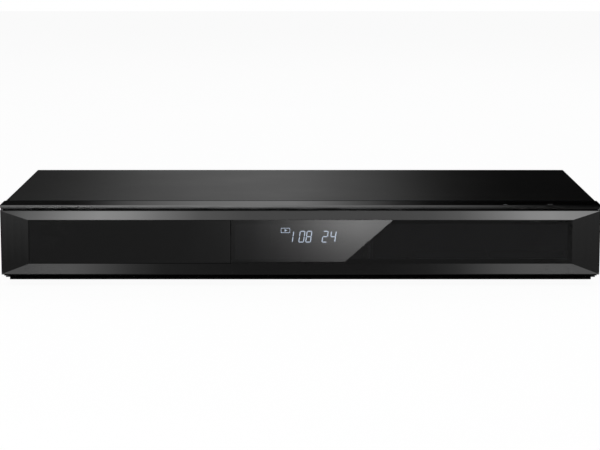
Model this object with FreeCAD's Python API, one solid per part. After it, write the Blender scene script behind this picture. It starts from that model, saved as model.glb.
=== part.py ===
import FreeCAD, Part
import math
import os

from FreeCAD import Vector

# A slim disc recorder. Lengths are millimetres. +X is the viewer's right, +Y runs to the rear and
# +Z is up. The origin is the middle of the overall box, on the surface that the feet stand on.

# Casing
overall_width = 430.0
body_depth = 191.5  # front of the flap to the rear of the cover
socket_reach = 7.5  # rear barrels beyond the cover
overall_height = 59.0
foot_height = 4.5
foot_radius = 9.0
foot_inset_x = 40.0
foot_front_y = 41.5  # front foot, behind the front of the flap
foot_rear_y = 20.0  # rear foot, ahead of the rear of the cover
sheet = 0.8  # steel of the cover, chassis and rear panel
cover_inset = 0.55  # cover side, inside the strip's end
cover_bend = 1.2
cover_skirt_lift = 1.5  # lower edge of the cover, above the chassis floor
rear_flange_height = 9.0
chassis_flange = 12.0
vent_length = 28.0
vent_width = 3.0
vent_pitch = 7.0

# Gaps between pieces
seam = 0.15
moving_gap = 0.3
shaft_gap = 0.06

# Front mouldings
strip_depth = 22.4
strip_thickness = 1.88
strip_drop = 0.15  # strip top, below the cover top
strip_edge = 0.5
strip_to_flap = 1.73
flap_lift = 4.03  # flap's lower edge, above the chassis
flap_inset = 0.2
flap_rim = 0.5
flap_depth = 6.5
panel_recess = 2.5
bevel_height = 7.45
bevel_width = 19.6
flap_skin = 1.8
flap_relief = 1.4  # lower edge of the tray's opening, cut back behind the pivot
lid_width = 145.2  # tray's lid, to the middle of its seam with the window
window_thickness = 2.0
window_ledge = 3.0
ledge_thickness = 1.4
pivot_back = 4.3  # flap pivot, behind the flap's front
pivot_rise = 4.47  # flap pivot, above the flap's lower edge
pin_radius = 0.8
pin_reach = 2.3
arm_radius = 1.6
arm_width = 4.0
arm_inset = 12.8  # hinge arm's middle, inside the flap's end
bezel_set_back = 9.5
bezel_wall = 2.5
bezel_roof = 1.1
plinth_inset = 5.15
plinth_set_back = 3.0
plinth_height = 2.0
magnet_radius = 3.0
magnet_length = 2.4
magnet_x = 120.0
plate_thickness = 0.8

# Buttons in the top strip
power_button_inset = 32.0  # power button's middle, inside the strip's end
button_pitch = 33.0
button_length = 22.0
button_depth = 9.0
button_back = 12.0  # button's middle, behind the strip's front
button_travel = 0.6
button_lip = 1.0
lip_thickness = 0.85
stem_back = 3.3  # stem, behind the button's middle
plunger_radius = 1.7
switch_size = 6.2
switch_height = 3.6
button_board_drop = 10.97  # button board, below the strip
board_thickness = 1.6

# Disc drive
drive_width = 146.0
drive_front = 13.5  # loader's front edge, behind the flap's front
drive_to_rear = 12.4  # loader's rear edge, ahead of the rear panel
drive_lift = 2.7  # loader, above the chassis floor
loader_wall = 2.5
loader_floor = 2.0
loader_height = 32.0
tray_plate_z = 28.0
tray_plate = 3.0
tray_rail = 4.0
rail_drop = 2.0
tray_tail_gap = 3.6  # tray's rear edge, ahead of the loader's
disc_radius = 60.4
small_disc_radius = 40.5
recess_depth = 1.8
small_recess_depth = 0.7
tray_nose = 6.6  # tray ahead of the disc recess
tray_slot = 34.0
tray_front_plate = 2.0
tray_front_bottom = 20.0
tray_front_margin = 3.79  # top of the tray's front, below the flap's opening
lid_thickness = 2.0
tray_side_gap = 0.4
tray_mouth_bottom = 24.3
tray_mouth_top = 37.3
puck_neck = 10.6
puck_flange = 14.0
puck_plate = 15.0
puck_bottom = 32.6
bridge_length = 44.0
bridge_thickness = 1.0

# Traverse with the spindle and the pickup
lift_travel = 5.5
cam_run = 11.0  # slide of the cam for the whole lift
traverse_z = 13.0
traverse_plate = 1.2
traverse_half = 34.0
spindle_can = 13.0
spindle_flange = 15.0
spindle_neck = 10.0
hub_radius = 7.4
turntable_radius = 14.0
turntable_z = 24.0
turntable_plate = 1.5
hub_height = 2.1
spindle_shaft = 1.2
guide_rod_radius = 1.5
guide_rod_x = 24.0
guide_rod_z = 18.0
lead_screw_x = 31.0
lead_screw_radius = 1.4
sled_motor_radius = 3.8
sled_inner = 22.0  # lens, behind the spindle
sled_ahead = 6.0
sled_behind = 16.0
sled_bottom = 15.2
sled_top = 21.4
lens_radius = 3.2
lens_height = 2.0
cam_pin_radius = 1.5
cam_pin_x = 15.0
cam_pin_z = 16.0
cam_plate = 2.0
cam_half = 44.0

# Loading gears
gear_module = 1.0
tray_gear_teeth = 24
pinion_teeth = 12
gear_backlash = 0.3
rack_x = 54.0  # rack's pitch line, left of the drive's middle
gear_row = 30.5  # loading gears, behind the flap's front
gear_bore = 1.56
gear_post = 1.5
pulley_radius = 11.0
motor_pulley_radius = 3.5
belt_size = 1.2
belt_gap = 0.1
pulley_z = 17.4
pulley_thickness = 3.0
motor_distance = 36.1
motor_radius = 9.0
mesh_gap = 0.1

# Boards and storage
board_lift = 9.7  # main board, above the chassis floor
power_board_lift = 7.7
hard_disk_length = 147.0
hard_disk_width = 101.6
hard_disk_height = 26.1
hard_disk_gap = 5.6  # hard disk, right of the disc drive
hard_disk_front = 37.5  # hard disk, behind the flap's front
hard_disk_drop = 2.1  # top of the hard disk, below the roof
bracket_sheet = 1.2
processor_height = 1.8
heat_sink_gap = 1.9  # fins, below the hard disk's shelf
stand_off_radius = 3.0

# Front sockets
slot_width = 54.6
slot_height = 5.6
slot_wall = 1.2
slot_floor = 2.4
slot_depth = 75.3
cage_height = 9.4

# Display, receiver and the narrow sockets behind the flap
data_left = 46.0
data_width = 6.0
data_height = 14.4
card_left = 53.4
card_width = 26.0
card_height = 3.4
display_left = -24.0
display_right = 34.0
display_bottom = 28.0
display_margin = 0.79  # top of the display, below the flap's opening
display_border = 2.0
receiver_x = -38.0
receiver_z = 38.0
front_board_left = -46.0
front_board_right = 42.0
front_board_bottom = 19.0
front_board_top = 49.0
front_board_gap = 3.5  # board, behind the front frame's wall
post_inset = 3.0

# Rear sockets
video_inset = 45.6  # video socket, inside the main board's left edge
video_width = 15.0
video_height = 6.2
network_gap = 5.0  # network socket, right of the video socket
network_width = 16.0
network_height = 13.5
barrel_radius = 4.15
barrel_relief = 0.4  # groove at the foot of a socket's barrel
collar_wall = 1.5  # moulded collar round a barrel, in the rear panel
collar_reach = 0.4
jack_pitch = 14.0
jack_gap = 10.0  # first jack's middle, right of the network socket
aerial_radius = 4.75
aerial_pitch = 18.0
aerial_inset = 9.6  # first barrel's middle, inside the main board's left edge
fan_room = 1.6  # over and under the fan, together
fan_depth = 10.0
fan_gap = 34.0  # fan's middle, right of the last jack's middle
fan_drop = 0.3  # top of the fan, below the roof
fan_rim = 1.0  # round the fan's bore
fan_hub = 9.5
fan_blades = 7
inlet_inset = 26.65  # inlet's middle, inside the cover's inner face
inlet_height = 16.0

AXES = {"x": Vector(1, 0, 0), "y": Vector(0, 1, 0), "z": Vector(0, 0, 1)}

# Places that several pieces share
half_width = overall_width / 2
front_y = -(body_depth + socket_reach) / 2
cover_rear_y = front_y + body_depth
sockets_y = cover_rear_y + socket_reach
cover_half = half_width - cover_inset
inner_half = cover_half - sheet
floor_z = foot_height + sheet
roof_z = overall_height - sheet
panel_outer_y = cover_rear_y - sheet
panel_inner_y = panel_outer_y - sheet
strip_top = overall_height - strip_drop
strip_bottom = strip_top - strip_thickness
flap_top = strip_bottom - strip_to_flap
flap_bottom = foot_height + flap_lift
flap_half = half_width - flap_inset
recess_y = front_y + panel_recess
flap_back_y = front_y + flap_depth
opening_half = flap_half - bevel_width
opening_bottom = flap_bottom + bevel_height
opening_top = flap_top - bevel_height
pivot_y = front_y + pivot_back
pivot_z = flap_bottom + pivot_rise
arm_x = flap_half - arm_inset
bezel_y = front_y + bezel_set_back
bezel_wall_back = bezel_y + bezel_wall
bezel_back_y = front_y + strip_depth
cover_front_y = bezel_back_y + seam
cheek_bottom = foot_height + cover_skirt_lift
plinth_half = cover_half - plinth_inset
power_button_x = half_width - power_button_inset
open_button_x = power_button_x - button_pitch
button_y = front_y + button_back
stem_y = button_y + stem_back
window_split_x = lid_width - opening_half
drive_x = (window_split_x - opening_half) / 2
drive_half = drive_width / 2
drive_y = front_y + drive_front
drive_back_y = panel_inner_y - drive_to_rear
loader_z = floor_z + drive_lift
loader_floor_z = loader_z + loader_floor
loader_top = loader_z + loader_height
tray_half = drive_half - loader_wall - tray_side_gap
tray_top = tray_plate_z + tray_plate
rail_bottom = tray_plate_z - rail_drop
lid_front_y = recess_y
lid_back_y = lid_front_y + lid_thickness
tray_front_y = lid_back_y + tray_front_plate
spindle_y = tray_front_y + tray_nose + disc_radius
tray_back_y = drive_back_y - tray_tail_gap
tray_front_top = opening_top - tray_front_margin
traverse_top = traverse_z + traverse_plate
gear_y = front_y + gear_row
tray_gear_radius = gear_module * tray_gear_teeth / 2
pinion_radius = gear_module * pinion_teeth / 2
tray_gear_x = drive_x - rack_x + tray_gear_radius
pinion_x = tray_gear_x + tray_gear_radius + pinion_radius + mesh_gap
motor_x = pinion_x + motor_distance
main_board_z = floor_z + board_lift
main_board_top = main_board_z + board_thickness
power_board_z = floor_z + power_board_lift
power_board_top = power_board_z + board_thickness
front_board_y = bezel_wall_back + front_board_gap
button_board_z = strip_bottom - button_board_drop
display_top = opening_top - display_margin
hard_disk_x = drive_x + drive_half + hard_disk_gap
hard_disk_y = front_y + hard_disk_front
bracket_z = roof_z - hard_disk_drop - hard_disk_height - bracket_sheet
fan_size = roof_z - main_board_top - fan_room
fan_z = roof_z - fan_drop - fan_size / 2
fan_bore = fan_size / 2 - fan_rim
inlet_x = inner_half - inlet_inset


def block(x, y, z):
    """A box from its low and high place along each axis."""
    corner = Vector(x[0], y[0], z[0])
    return Part.makeBox(x[1] - x[0], y[1] - y[0], z[1] - z[0], corner)


def centred(x, y, size_x, size_y, z):
    """An upright box round a middle point, between two heights."""
    return block((x - size_x / 2, x + size_x / 2), (y - size_y / 2, y + size_y / 2), z)


def round_bar(radius, start, length, axis):
    """A cylinder from the middle of one end."""
    return Part.makeCylinder(radius, length, Vector(*start), AXES[axis])


def prism(points, axis, low, high):
    """A straight-sided outline pushed along one axis. Points leave that axis out."""
    places = {
        "x": lambda u, v: Vector(low, u, v),
        "y": lambda u, v: Vector(u, low, v),
        "z": lambda u, v: Vector(u, v, low),
    }
    corners = [places[axis](u, v) for u, v in points]
    outline = Part.makePolygon(corners + corners[:1])
    return Part.Face(outline).extrude(AXES[axis] * (high - low))


def join(pieces):
    """One solid from pieces that touch or overlap."""
    return pieces[0].fuse(pieces[1:]).removeSplitter()


def both_sides(shape):
    """The shape and its mirror image across the middle of the unit."""
    return [shape, shape.mirror(Vector(0, 0, 0), AXES["x"])]


def rounded(shape, radius, axis):
    """Rounds every straight edge that runs along one axis."""
    edges = []
    for edge in shape.Edges:
        along = edge.tangentAt(edge.FirstParameter)
        if abs(abs(along.dot(AXES[axis])) - 1) < 1e-6:
            edges.append(edge)
    return shape.makeFillet(radius, edges)


def screw(place, axis, turn, shank):
    """A pan-head screw: its head stands on the place, its shank goes the other way."""
    x, y, z = place
    head = Part.makeCylinder(2.8, 1.6, Vector(x, y, z), AXES[axis] * turn)
    body = Part.makeCylinder(1.4, shank, Vector(x, y, z), AXES[axis] * -turn)
    middle = Vector(x, y, z) + AXES[axis] * (turn * 1.6)
    bars = {
        "y": ((3.2, 1.6, 0.8), (0.8, 1.6, 3.2)),
        "z": ((3.2, 0.8, 1.6), (0.8, 3.2, 1.6)),
    }
    cross = [Part.makeBox(*size, middle - Vector(*size) / 2) for size in bars[axis]]
    return head.fuse(body).cut(cross)


def save(name, pieces):
    """Writes one part, or a group of separate solids, under its name."""
    solids = []
    for piece in pieces:
        solids.extend(piece.Solids)
    shape = solids[0] if len(solids) == 1 else Part.makeCompound(solids)
    shape.exportStep("parts/%s.step" % name)
    bounds = shape.BoundBox
    print(
        "%-22s solids %2d  volume %9.1f  valid %s  x %7.1f %7.1f  y %6.1f %6.1f  z %5.1f %5.1f"
        % (name, len(solids), shape.Volume, shape.isValid(), bounds.XMin, bounds.XMax,
           bounds.YMin, bounds.YMax, bounds.ZMin, bounds.ZMax)
    )


# Places of screws and posts, in plan
loader_posts = [
    (drive_x + side * (drive_half - 7.0), y)
    for side in (-1, 1)
    for y in (drive_y + 8.0, drive_back_y - 8.0)
]
hard_disk_posts = [
    (hard_disk_x + reach, hard_disk_y + across)
    for reach in (8.0, hard_disk_length - 29.0)
    for across in (6.0, hard_disk_width - 6.0)
]
cage_right = opening_half - 2.2
cage_left = cage_right - 2 * slot_width - 3 * slot_wall
main_board_left = drive_x + drive_half + 6.0
main_board_step_x = cage_left + 32.0
video_left = main_board_left + video_inset
network_left = video_left + video_width + network_gap
jack_x = network_left + network_width + jack_gap
aerial_x = main_board_left + aerial_inset
fan_x = jack_x + jack_pitch + fan_gap
main_board_front = bezel_wall_back + 7.5
main_board_step_y = front_y + 101.5
power_board_left = main_board_step_x + 6.0
power_board_right = inner_half - 6.0
power_board_front = main_board_step_y + 6.0
power_board_back = panel_inner_y - 2.4
main_board_back = panel_inner_y - 4.4
main_board_screws = [
    (main_board_left + 6.0, main_board_front + 6.0),
    (cage_left - 14.0, main_board_front + 28.0),
    (cage_right - 3.0, main_board_step_y - 6.0),
    (main_board_left + 6.0, hard_disk_y + hard_disk_width - 15.6),
    (main_board_step_x - 6.0, main_board_back - 26.0),
    (main_board_step_x - 6.0, main_board_step_y + 10.0),
]
power_board_screws = [
    (x, y)
    for x in (power_board_left + 4.0, power_board_right - 4.0)
    for y in (power_board_front + 4.0, power_board_back - 4.0)
]
tuner_y = hard_disk_y + hard_disk_width + 4.4
processor_place = (hard_disk_x + 84.0, main_board_step_y - 8.0)
slot_lefts = [cage_left + slot_wall, cage_left + 2 * slot_wall + slot_width]
slot_bottom = main_board_top + slot_floor
fan_y = panel_inner_y - fan_depth
jack_places = [
    (jack_x + column * jack_pitch, main_board_top + 8.0 + row * jack_pitch)
    for column in (0, 1)
    for row in (0, 1)
]
aerial_places = [(aerial_x, main_board_top + 6.0), (aerial_x + aerial_pitch, main_board_top + 6.0)]
front_board_posts = [
    (x, z)
    for x in (front_board_left + post_inset, front_board_right - post_inset)
    for z in (front_board_bottom + post_inset, front_board_top - post_inset)
]
board_arms = (power_button_x + button_length / 2 + 2.0, open_button_x - button_length / 2 - 2.0)
video_place = (video_left, video_left + video_width, main_board_top + video_height)
network_place = (network_left, network_left + network_width, main_board_top + network_height)
inlet_top = power_board_top + inlet_height
rear_screws = [(side * x, roof_z - 4.5) for side in (-1, 1) for x in (70.0, inner_half - 10.0)]


def vents(x, y, z, count):
    """A row of slots that go right through a sheet."""
    slots = []
    for place in range(count):
        left = x + place * vent_pitch
        slots.append(block((left, left + vent_width), (y, y + vent_length), (z - 3, z + 3)))
    return slots


def bottom_chassis():
    """Folded steel floor with side and front flanges, posts and air slots."""
    front = bezel_wall_back
    floor = block((-inner_half, inner_half), (front, panel_inner_y), (foot_height, floor_z))
    side = block((inner_half - sheet, inner_half), (front + 12.0, panel_inner_y),
                 (foot_height, foot_height + chassis_flange))
    lip = block((-plinth_half, plinth_half), (front, front + sheet), (foot_height, floor_z + 4.0))
    posts = []
    holes = []
    for radius, high, places in (
        (4.0, loader_z, loader_posts),
        (stand_off_radius, main_board_z, main_board_screws),
        (stand_off_radius, power_board_z, power_board_screws),
    ):
        for x, y in places:
            posts.append(round_bar(radius, (x, y, foot_height), high - foot_height, "z"))
            holes.append(round_bar(1.45, (x, y, foot_height - 1), high - foot_height + 2, "z"))
    air = vents(main_board_left + 14.0, main_board_step_y - 32.0, foot_height, 12)
    air += vents(power_board_left + 10.0, main_board_step_y + 26.0, foot_height, 9)
    return join([floor, lip] + both_sides(side) + posts).cut(holes + air)


def top_cover():
    """Folded steel cover: roof, two sides and a short rear flange."""
    low = floor_z - sheet + cover_skirt_lift
    outer = block((-cover_half, cover_half), (cover_front_y, cover_rear_y), (low, overall_height))
    upper = []
    for edge in outer.Edges:
        centre = edge.CenterOfMass
        at_side = abs(abs(centre.x) - cover_half) < 1e-6
        if abs(centre.z - overall_height) < 1e-6 and at_side:
            upper.append(edge)
    outer = outer.makeFillet(cover_bend, upper)
    inside = block((-inner_half, inner_half), (cover_front_y - 1, panel_outer_y), (low - 1, roof_z))
    under = block((-inner_half, inner_half), (panel_outer_y - 1, cover_rear_y + 1),
                  (low - 1, overall_height - rear_flange_height))
    notch = centred(fan_x, cover_rear_y, fan_size + 8.0, 2.5 * sheet - 0.4, (low, roof_z))
    holes = [round_bar(1.45, (x, panel_outer_y - 2, z), 6, "y") for x, z in rear_screws]
    slots = []
    for side in (-1, 1):
        for row in range(2):
            for place in range(9):
                y = cover_rear_y - 18.0 - place * vent_pitch
                z = 24.0 + row * 14.0
                slots.append(centred(side * cover_half, y, 6, vent_width, (z, z + 10.0)))
    return outer.cut([inside, under, notch] + holes + slots)


def fan_grille():
    """Rings of round holes in front of the fan."""
    holes = []
    for ring, count in ((4.5, 6), (9.5, 12), (14.5, 18)):
        for place in range(count):
            angle = 2 * math.pi * place / count
            x = fan_x + ring * math.cos(angle)
            z = fan_z + ring * math.sin(angle)
            holes.append(round_bar(1.9, (x, panel_inner_y - 1, z), 3, "y"))
    return holes


def rear_panel():
    """Steel rear panel with an opening round each socket."""
    plate = block((-inner_half, inner_half), (panel_inner_y, panel_outer_y), (foot_height, roof_z))
    tabs = []
    for x in (-150.0, 150.0):
        tabs.append(centred(x, panel_inner_y - 4.0, 16.0, 8.0, (floor_z, floor_z + sheet)))
    cuts = fan_grille()
    for x, z in rear_screws + fan_screws():
        cuts.append(round_bar(1.45, (x, panel_inner_y - 1, z), 3, "y"))
    for x, z in jack_places:
        cuts.append(round_bar(barrel_radius + collar_wall + 0.2, (x, panel_inner_y - 1, z), 3, "y"))
    for x, z in aerial_places:
        cuts.append(round_bar(aerial_radius + collar_wall + 0.2, (x, panel_inner_y - 1, z), 3, "y"))
    y = (panel_inner_y - 1, panel_outer_y + 1)
    for low, high, top in (video_place, network_place):
        cuts.append(block((low - 0.2, high + 0.2), y, (main_board_top - 0.2, top + 0.2)))
    cuts.append(block((inlet_x - 11.2, inlet_x + 11.2), y, (power_board_top - 0.2, inlet_top + 0.2)))
    for place in range(14):
        x = drive_x - 45.5 + place * vent_pitch
        cuts.append(block((x, x + vent_width), y, (22.0, 38.0)))
    return join([plate] + tabs).cut(cuts)


def fan_screws():
    """The four corners of the fan's own hole pattern."""
    reach = fan_size / 2 - 4.0
    return [(fan_x + i * reach, fan_z + j * reach) for i in (-1, 1) for j in (-1, 1)]


def front_bezel():
    """Moulded front frame behind the flap, with roof, cheeks, plinth and hinge arms."""
    roof = block((-cover_half, cover_half), (front_y + 1.0, bezel_back_y),
                 (strip_bottom - bezel_roof, strip_bottom))
    wall = block((-cover_half, cover_half), (bezel_y, bezel_wall_back), (cheek_bottom, strip_bottom))
    cheek = block((cover_half - bezel_wall, cover_half), (bezel_y, bezel_back_y),
                  (cheek_bottom, strip_bottom))
    plinth = block((-plinth_half, plinth_half), (front_y + plinth_set_back, bezel_wall_back),
                   (foot_height, foot_height + plinth_height))
    arm = block((arm_x - arm_width / 2, arm_x + arm_width / 2), (pivot_y, bezel_y + 0.5),
                (pivot_z - arm_radius, pivot_z + arm_radius))
    arm_end = round_bar(arm_radius, (arm_x - arm_width / 2, pivot_y, pivot_z), arm_width, "x")
    arm_bore = round_bar(pin_radius + shaft_gap, (arm_x - arm_width, pivot_y, pivot_z),
                         2 * arm_width, "x")
    arm = arm.fuse(arm_end).cut(arm_bore)
    solids = [roof, wall, plinth] + both_sides(cheek) + both_sides(arm)
    for x, z in front_board_posts:
        solids.append(round_bar(2.5, (x, bezel_wall_back, z), front_board_y - bezel_wall_back, "y"))
    for x in board_arms:
        solids.append(block((x - 2, x + 2), (bezel_wall_back, bezel_wall_back + 9.0),
                            (button_board_z - 3.0, button_board_z)))
    for x in (-magnet_x, magnet_x):
        solids.append(round_bar(magnet_radius + 1.5, (x, bezel_y - magnet_length + 0.3, magnet_z()),
                                magnet_length, "y"))
    return join(solids).cut(bezel_cuts())


def magnet_z():
    """Height of the magnets, in the middle of the flap's upper bar."""
    return (opening_top + flap_top) / 2


def bezel_cuts():
    """Openings in the front frame for the tray, display, sockets and buttons."""
    through = (bezel_y - 1.0, bezel_wall_back + 1.0)
    cuts = [
        block((drive_x - tray_half - 0.7, drive_x + tray_half + 0.7), through,
              (tray_mouth_bottom, tray_mouth_top)),
        block((display_left + display_border, display_right - display_border), through,
              (display_bottom + display_border, display_top - display_border)),
        block((data_left - moving_gap, data_left + data_width + moving_gap), through,
              (main_board_top - moving_gap, main_board_top + data_height + moving_gap)),
        block((card_left + 0.8, card_left + card_width - 0.8), through,
              (main_board_top + 0.4, main_board_top + card_height - 0.4)),
        round_bar(3.0, (receiver_x, bezel_y - 1.0, receiver_z), bezel_wall + 2.0, "y"),
    ]
    for left in slot_lefts:
        cuts.append(block((left, left + slot_width), through, (slot_bottom, slot_bottom + slot_height)))
    for x in (-magnet_x, magnet_x):
        cuts.append(round_bar(magnet_radius, (x, bezel_y - magnet_length, magnet_z()),
                              magnet_length, "y"))
    for x in (power_button_x, open_button_x):
        half_x = button_length / 2 + button_lip + moving_gap
        half_y = button_depth / 2 + button_lip + moving_gap
        depth = lip_thickness + button_travel + moving_gap
        cuts.append(block((x - half_x, x + half_x), (button_y - half_y, button_y + half_y),
                          (strip_bottom - depth, strip_bottom + 1)))
    return cuts


def top_strip():
    """Gloss strip along the front edge of the top, with openings for two buttons."""
    strip = block((-half_width, half_width), (front_y, bezel_back_y), (strip_bottom, strip_top))
    edges = []
    for edge in strip.Edges:
        centre = edge.CenterOfMass
        at_front = abs(centre.y - front_y) < 1e-6
        if abs(centre.z - strip_top) < 1e-6 and at_front:
            edges.append(edge)
    strip = strip.makeChamfer(strip_edge, edges)
    cuts = []
    for x in (power_button_x, open_button_x):
        cuts.append(centred(x, button_y, button_length + 2 * seam, button_depth + 2 * seam,
                            (strip_bottom - 1, strip_top + 1)))
    return strip.cut(cuts)


def push_button(x):
    """Button cap with its retaining lip, stem and plunger end."""
    cap = centred(x, button_y, button_length, button_depth, (strip_bottom - 0.1, strip_top))
    lip_top = strip_bottom - 0.05
    lip = centred(x, button_y, button_length + 2 * button_lip, button_depth + 2 * button_lip,
                  (lip_top - lip_thickness, lip_top))
    stem = centred(x, stem_y, 4.0, 3.0, (switch_top() + 0.8, lip_top - 0.1))
    plunger = round_bar(plunger_radius, (x, stem_y, switch_top() - 0.5), 2.0, "z")
    return join([cap, lip, stem, plunger])


def switch_top():
    """Height of the top face of the push switches."""
    return button_board_z + board_thickness + switch_height


def tact_switches():
    """Two push-switch housings on the button board, each with a bore for its plunger."""
    low = button_board_z + board_thickness
    solids = []
    for x in (power_button_x, open_button_x):
        body = centred(x, stem_y, switch_size, switch_size, (low, switch_top()))
        bore = round_bar(plunger_radius + 0.1, (x, stem_y, switch_top() - 1.8), 3.0, "z")
        solids.append(body.cut(bore))
    return solids


def button_board():
    """Small circuit board under the two buttons, on two arms of the front frame."""
    right, left = board_arms
    return block((left - 3, right + 3), (bezel_wall_back + 0.2, bezel_wall_back + 9.0),
                 (button_board_z, button_board_z + board_thickness))


def flap_outline(y, inset_x, inset_z):
    """A rectangle that follows the flap's outline, drawn inside it, at one depth."""
    x = flap_half - inset_x
    low = flap_bottom + inset_z
    high = flap_top - inset_z
    corners = [Vector(-x, y, low), Vector(x, y, low), Vector(x, y, high), Vector(-x, y, high)]
    return Part.makePolygon(corners + corners[:1])


def flap_pocket(low_x, high_x):
    """Room behind the flap's skin for one hinge arm, through the whole swing."""
    room = arm_radius + moving_gap
    tip = round_bar(room, (low_x, pivot_y, pivot_z), high_x - low_x, "x")
    behind = block((low_x, high_x), (pivot_y, flap_back_y + 1), (flap_bottom - 1, pivot_z + room))
    below = block((low_x, high_x), (pivot_y - room, flap_back_y + 1), (flap_bottom - 1, pivot_z))
    return [tip, behind, below]


def door_frame():
    """Bevelled frame of the flap, with its openings and the pockets of the hinge arms."""
    slab = block((-flap_half, flap_half), (front_y, flap_back_y), (flap_bottom, flap_top))
    dish = Part.makeLoft(
        [flap_outline(front_y, flap_rim, flap_rim), flap_outline(recess_y, bevel_width, bevel_height)],
        True, True)
    tray_hole = block((-opening_half, window_split_x - seam), (front_y, flap_back_y + 1),
                      (opening_bottom, opening_top))
    window_seat = block((window_split_x - seam, opening_half), (front_y, recess_y + window_thickness),
                        (opening_bottom, opening_top))
    window_hole = block((window_split_x + window_ledge, opening_half - window_ledge),
                        (front_y, flap_back_y + 1),
                        (opening_bottom + window_ledge, opening_top - window_ledge))
    ledge_back = recess_y + window_thickness + ledge_thickness
    behind = block((-opening_half - flap_skin, opening_half + flap_skin), (ledge_back, flap_back_y + 1),
                   (opening_bottom - 1.0, opening_top + flap_skin))
    relief = block((-opening_half - 1.0, window_split_x), (pivot_y, flap_back_y + 1),
                   (opening_bottom - flap_relief, opening_top))
    cuts = [dish, tray_hole, window_seat, window_hole, behind, relief]
    low_x = arm_x - arm_width / 2 - moving_gap
    high_x = arm_x + arm_width / 2 + moving_gap
    for piece in flap_pocket(low_x, high_x):
        cuts += both_sides(piece)
    bore = round_bar(pin_radius, (low_x - pin_reach, pivot_y, pivot_z),
                     high_x - low_x + 2 * pin_reach, "x")
    cuts += both_sides(bore)
    for x in (-magnet_x, magnet_x):
        cuts.append(block((x - 4.0, x + 4.0), (flap_back_y - 0.5, flap_back_y + 1),
                          (magnet_z() - 3.0, magnet_z() + 3.0)))
    return slab.cut(cuts)


def door_window():
    """Dark clear panel that fills the right part of the flap."""
    return block((window_split_x + seam, opening_half), (recess_y, recess_y + window_thickness),
                 (opening_bottom, opening_top))


def door_hinge_pins():
    """Steel pins, pressed into the flap, that turn in the hinge arms."""
    low_x = arm_x - arm_width / 2 - moving_gap - pin_reach
    high_x = arm_x + arm_width / 2 + moving_gap + pin_reach
    return both_sides(round_bar(pin_radius, (low_x, pivot_y, pivot_z), high_x - low_x, "x"))


def magnet_plates():
    """Steel plates on the back of the flap, opposite the magnets."""
    return [
        block((x - 4.0, x + 4.0), (flap_back_y - 0.5, flap_back_y - 0.5 + plate_thickness),
              (magnet_z() - 3.0, magnet_z() + 3.0))
        for x in (-magnet_x, magnet_x)
    ]


def door_magnets():
    """Two round magnets in the front frame that hold the flap shut."""
    start = bezel_y - magnet_length
    return [
        round_bar(magnet_radius, (x, start, magnet_z()), magnet_length, "y")
        for x in (-magnet_x, magnet_x)
    ]


def tray_lid():
    """Front cover of the disc tray, level with the window."""
    return block((-opening_half + moving_gap, window_split_x - seam - moving_gap / 2),
                 (lid_front_y, lid_back_y), (opening_bottom + moving_gap, opening_top - moving_gap))


def rack_outline(first_gap, low, high):
    """Teeth of a straight rack that runs along Y, as points seen from above."""
    pitch = math.pi * gear_module
    half = (pitch - gear_backlash) / 4
    slope = math.tan(math.radians(20))
    tip = 0.8 * gear_module
    root = 1.1 * gear_module
    line = drive_x - rack_x
    points = [(line - root - 2.4, low), (line - root, low)]
    count = int((high - low) / pitch)
    start = math.ceil((low - first_gap) / pitch) * pitch + first_gap + pitch / 2
    for tooth in range(count):
        middle = start + tooth * pitch
        if middle + pitch / 2 > high:
            break
        points.append((line - root, middle - half - root * slope))
        points.append((line + tip, middle - half + tip * slope))
        points.append((line + tip, middle + half - tip * slope))
        points.append((line - root, middle + half + root * slope))
    points += [(line - root, high), (line - root - 2.4, high)]
    return points


def gear_wheel(x, y, teeth, turn, low, high):
    """Spur gear with involute flanks, seen from above, and one tooth at the given turn."""
    pitch_radius = gear_module * teeth / 2
    base = pitch_radius * math.cos(math.radians(20))
    tip = pitch_radius + 0.8 * gear_module
    root = pitch_radius - 1.1 * gear_module
    spread = math.tan(math.radians(20)) - math.radians(20)
    half = (math.pi / teeth) / 2 - gear_backlash / 4 / pitch_radius + spread
    flank = []
    start = max(base, root)
    for step in range(5):
        radius = start + (tip - start) * step / 4
        roll = math.sqrt(max((radius / base) ** 2 - 1, 0.0))
        flank.append((radius, half - (roll - math.atan(roll))))
    if root < base:
        flank.insert(0, (root, half))
    points = []
    for tooth in range(teeth):
        centre = turn + 2 * math.pi * tooth / teeth
        for radius, angle in flank:
            points.append((x + radius * math.cos(centre - angle), y + radius * math.sin(centre - angle)))
        for radius, angle in reversed(flank):
            points.append((x + radius * math.cos(centre + angle), y + radius * math.sin(centre + angle)))
    return prism(points, "z", low, high)


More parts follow.
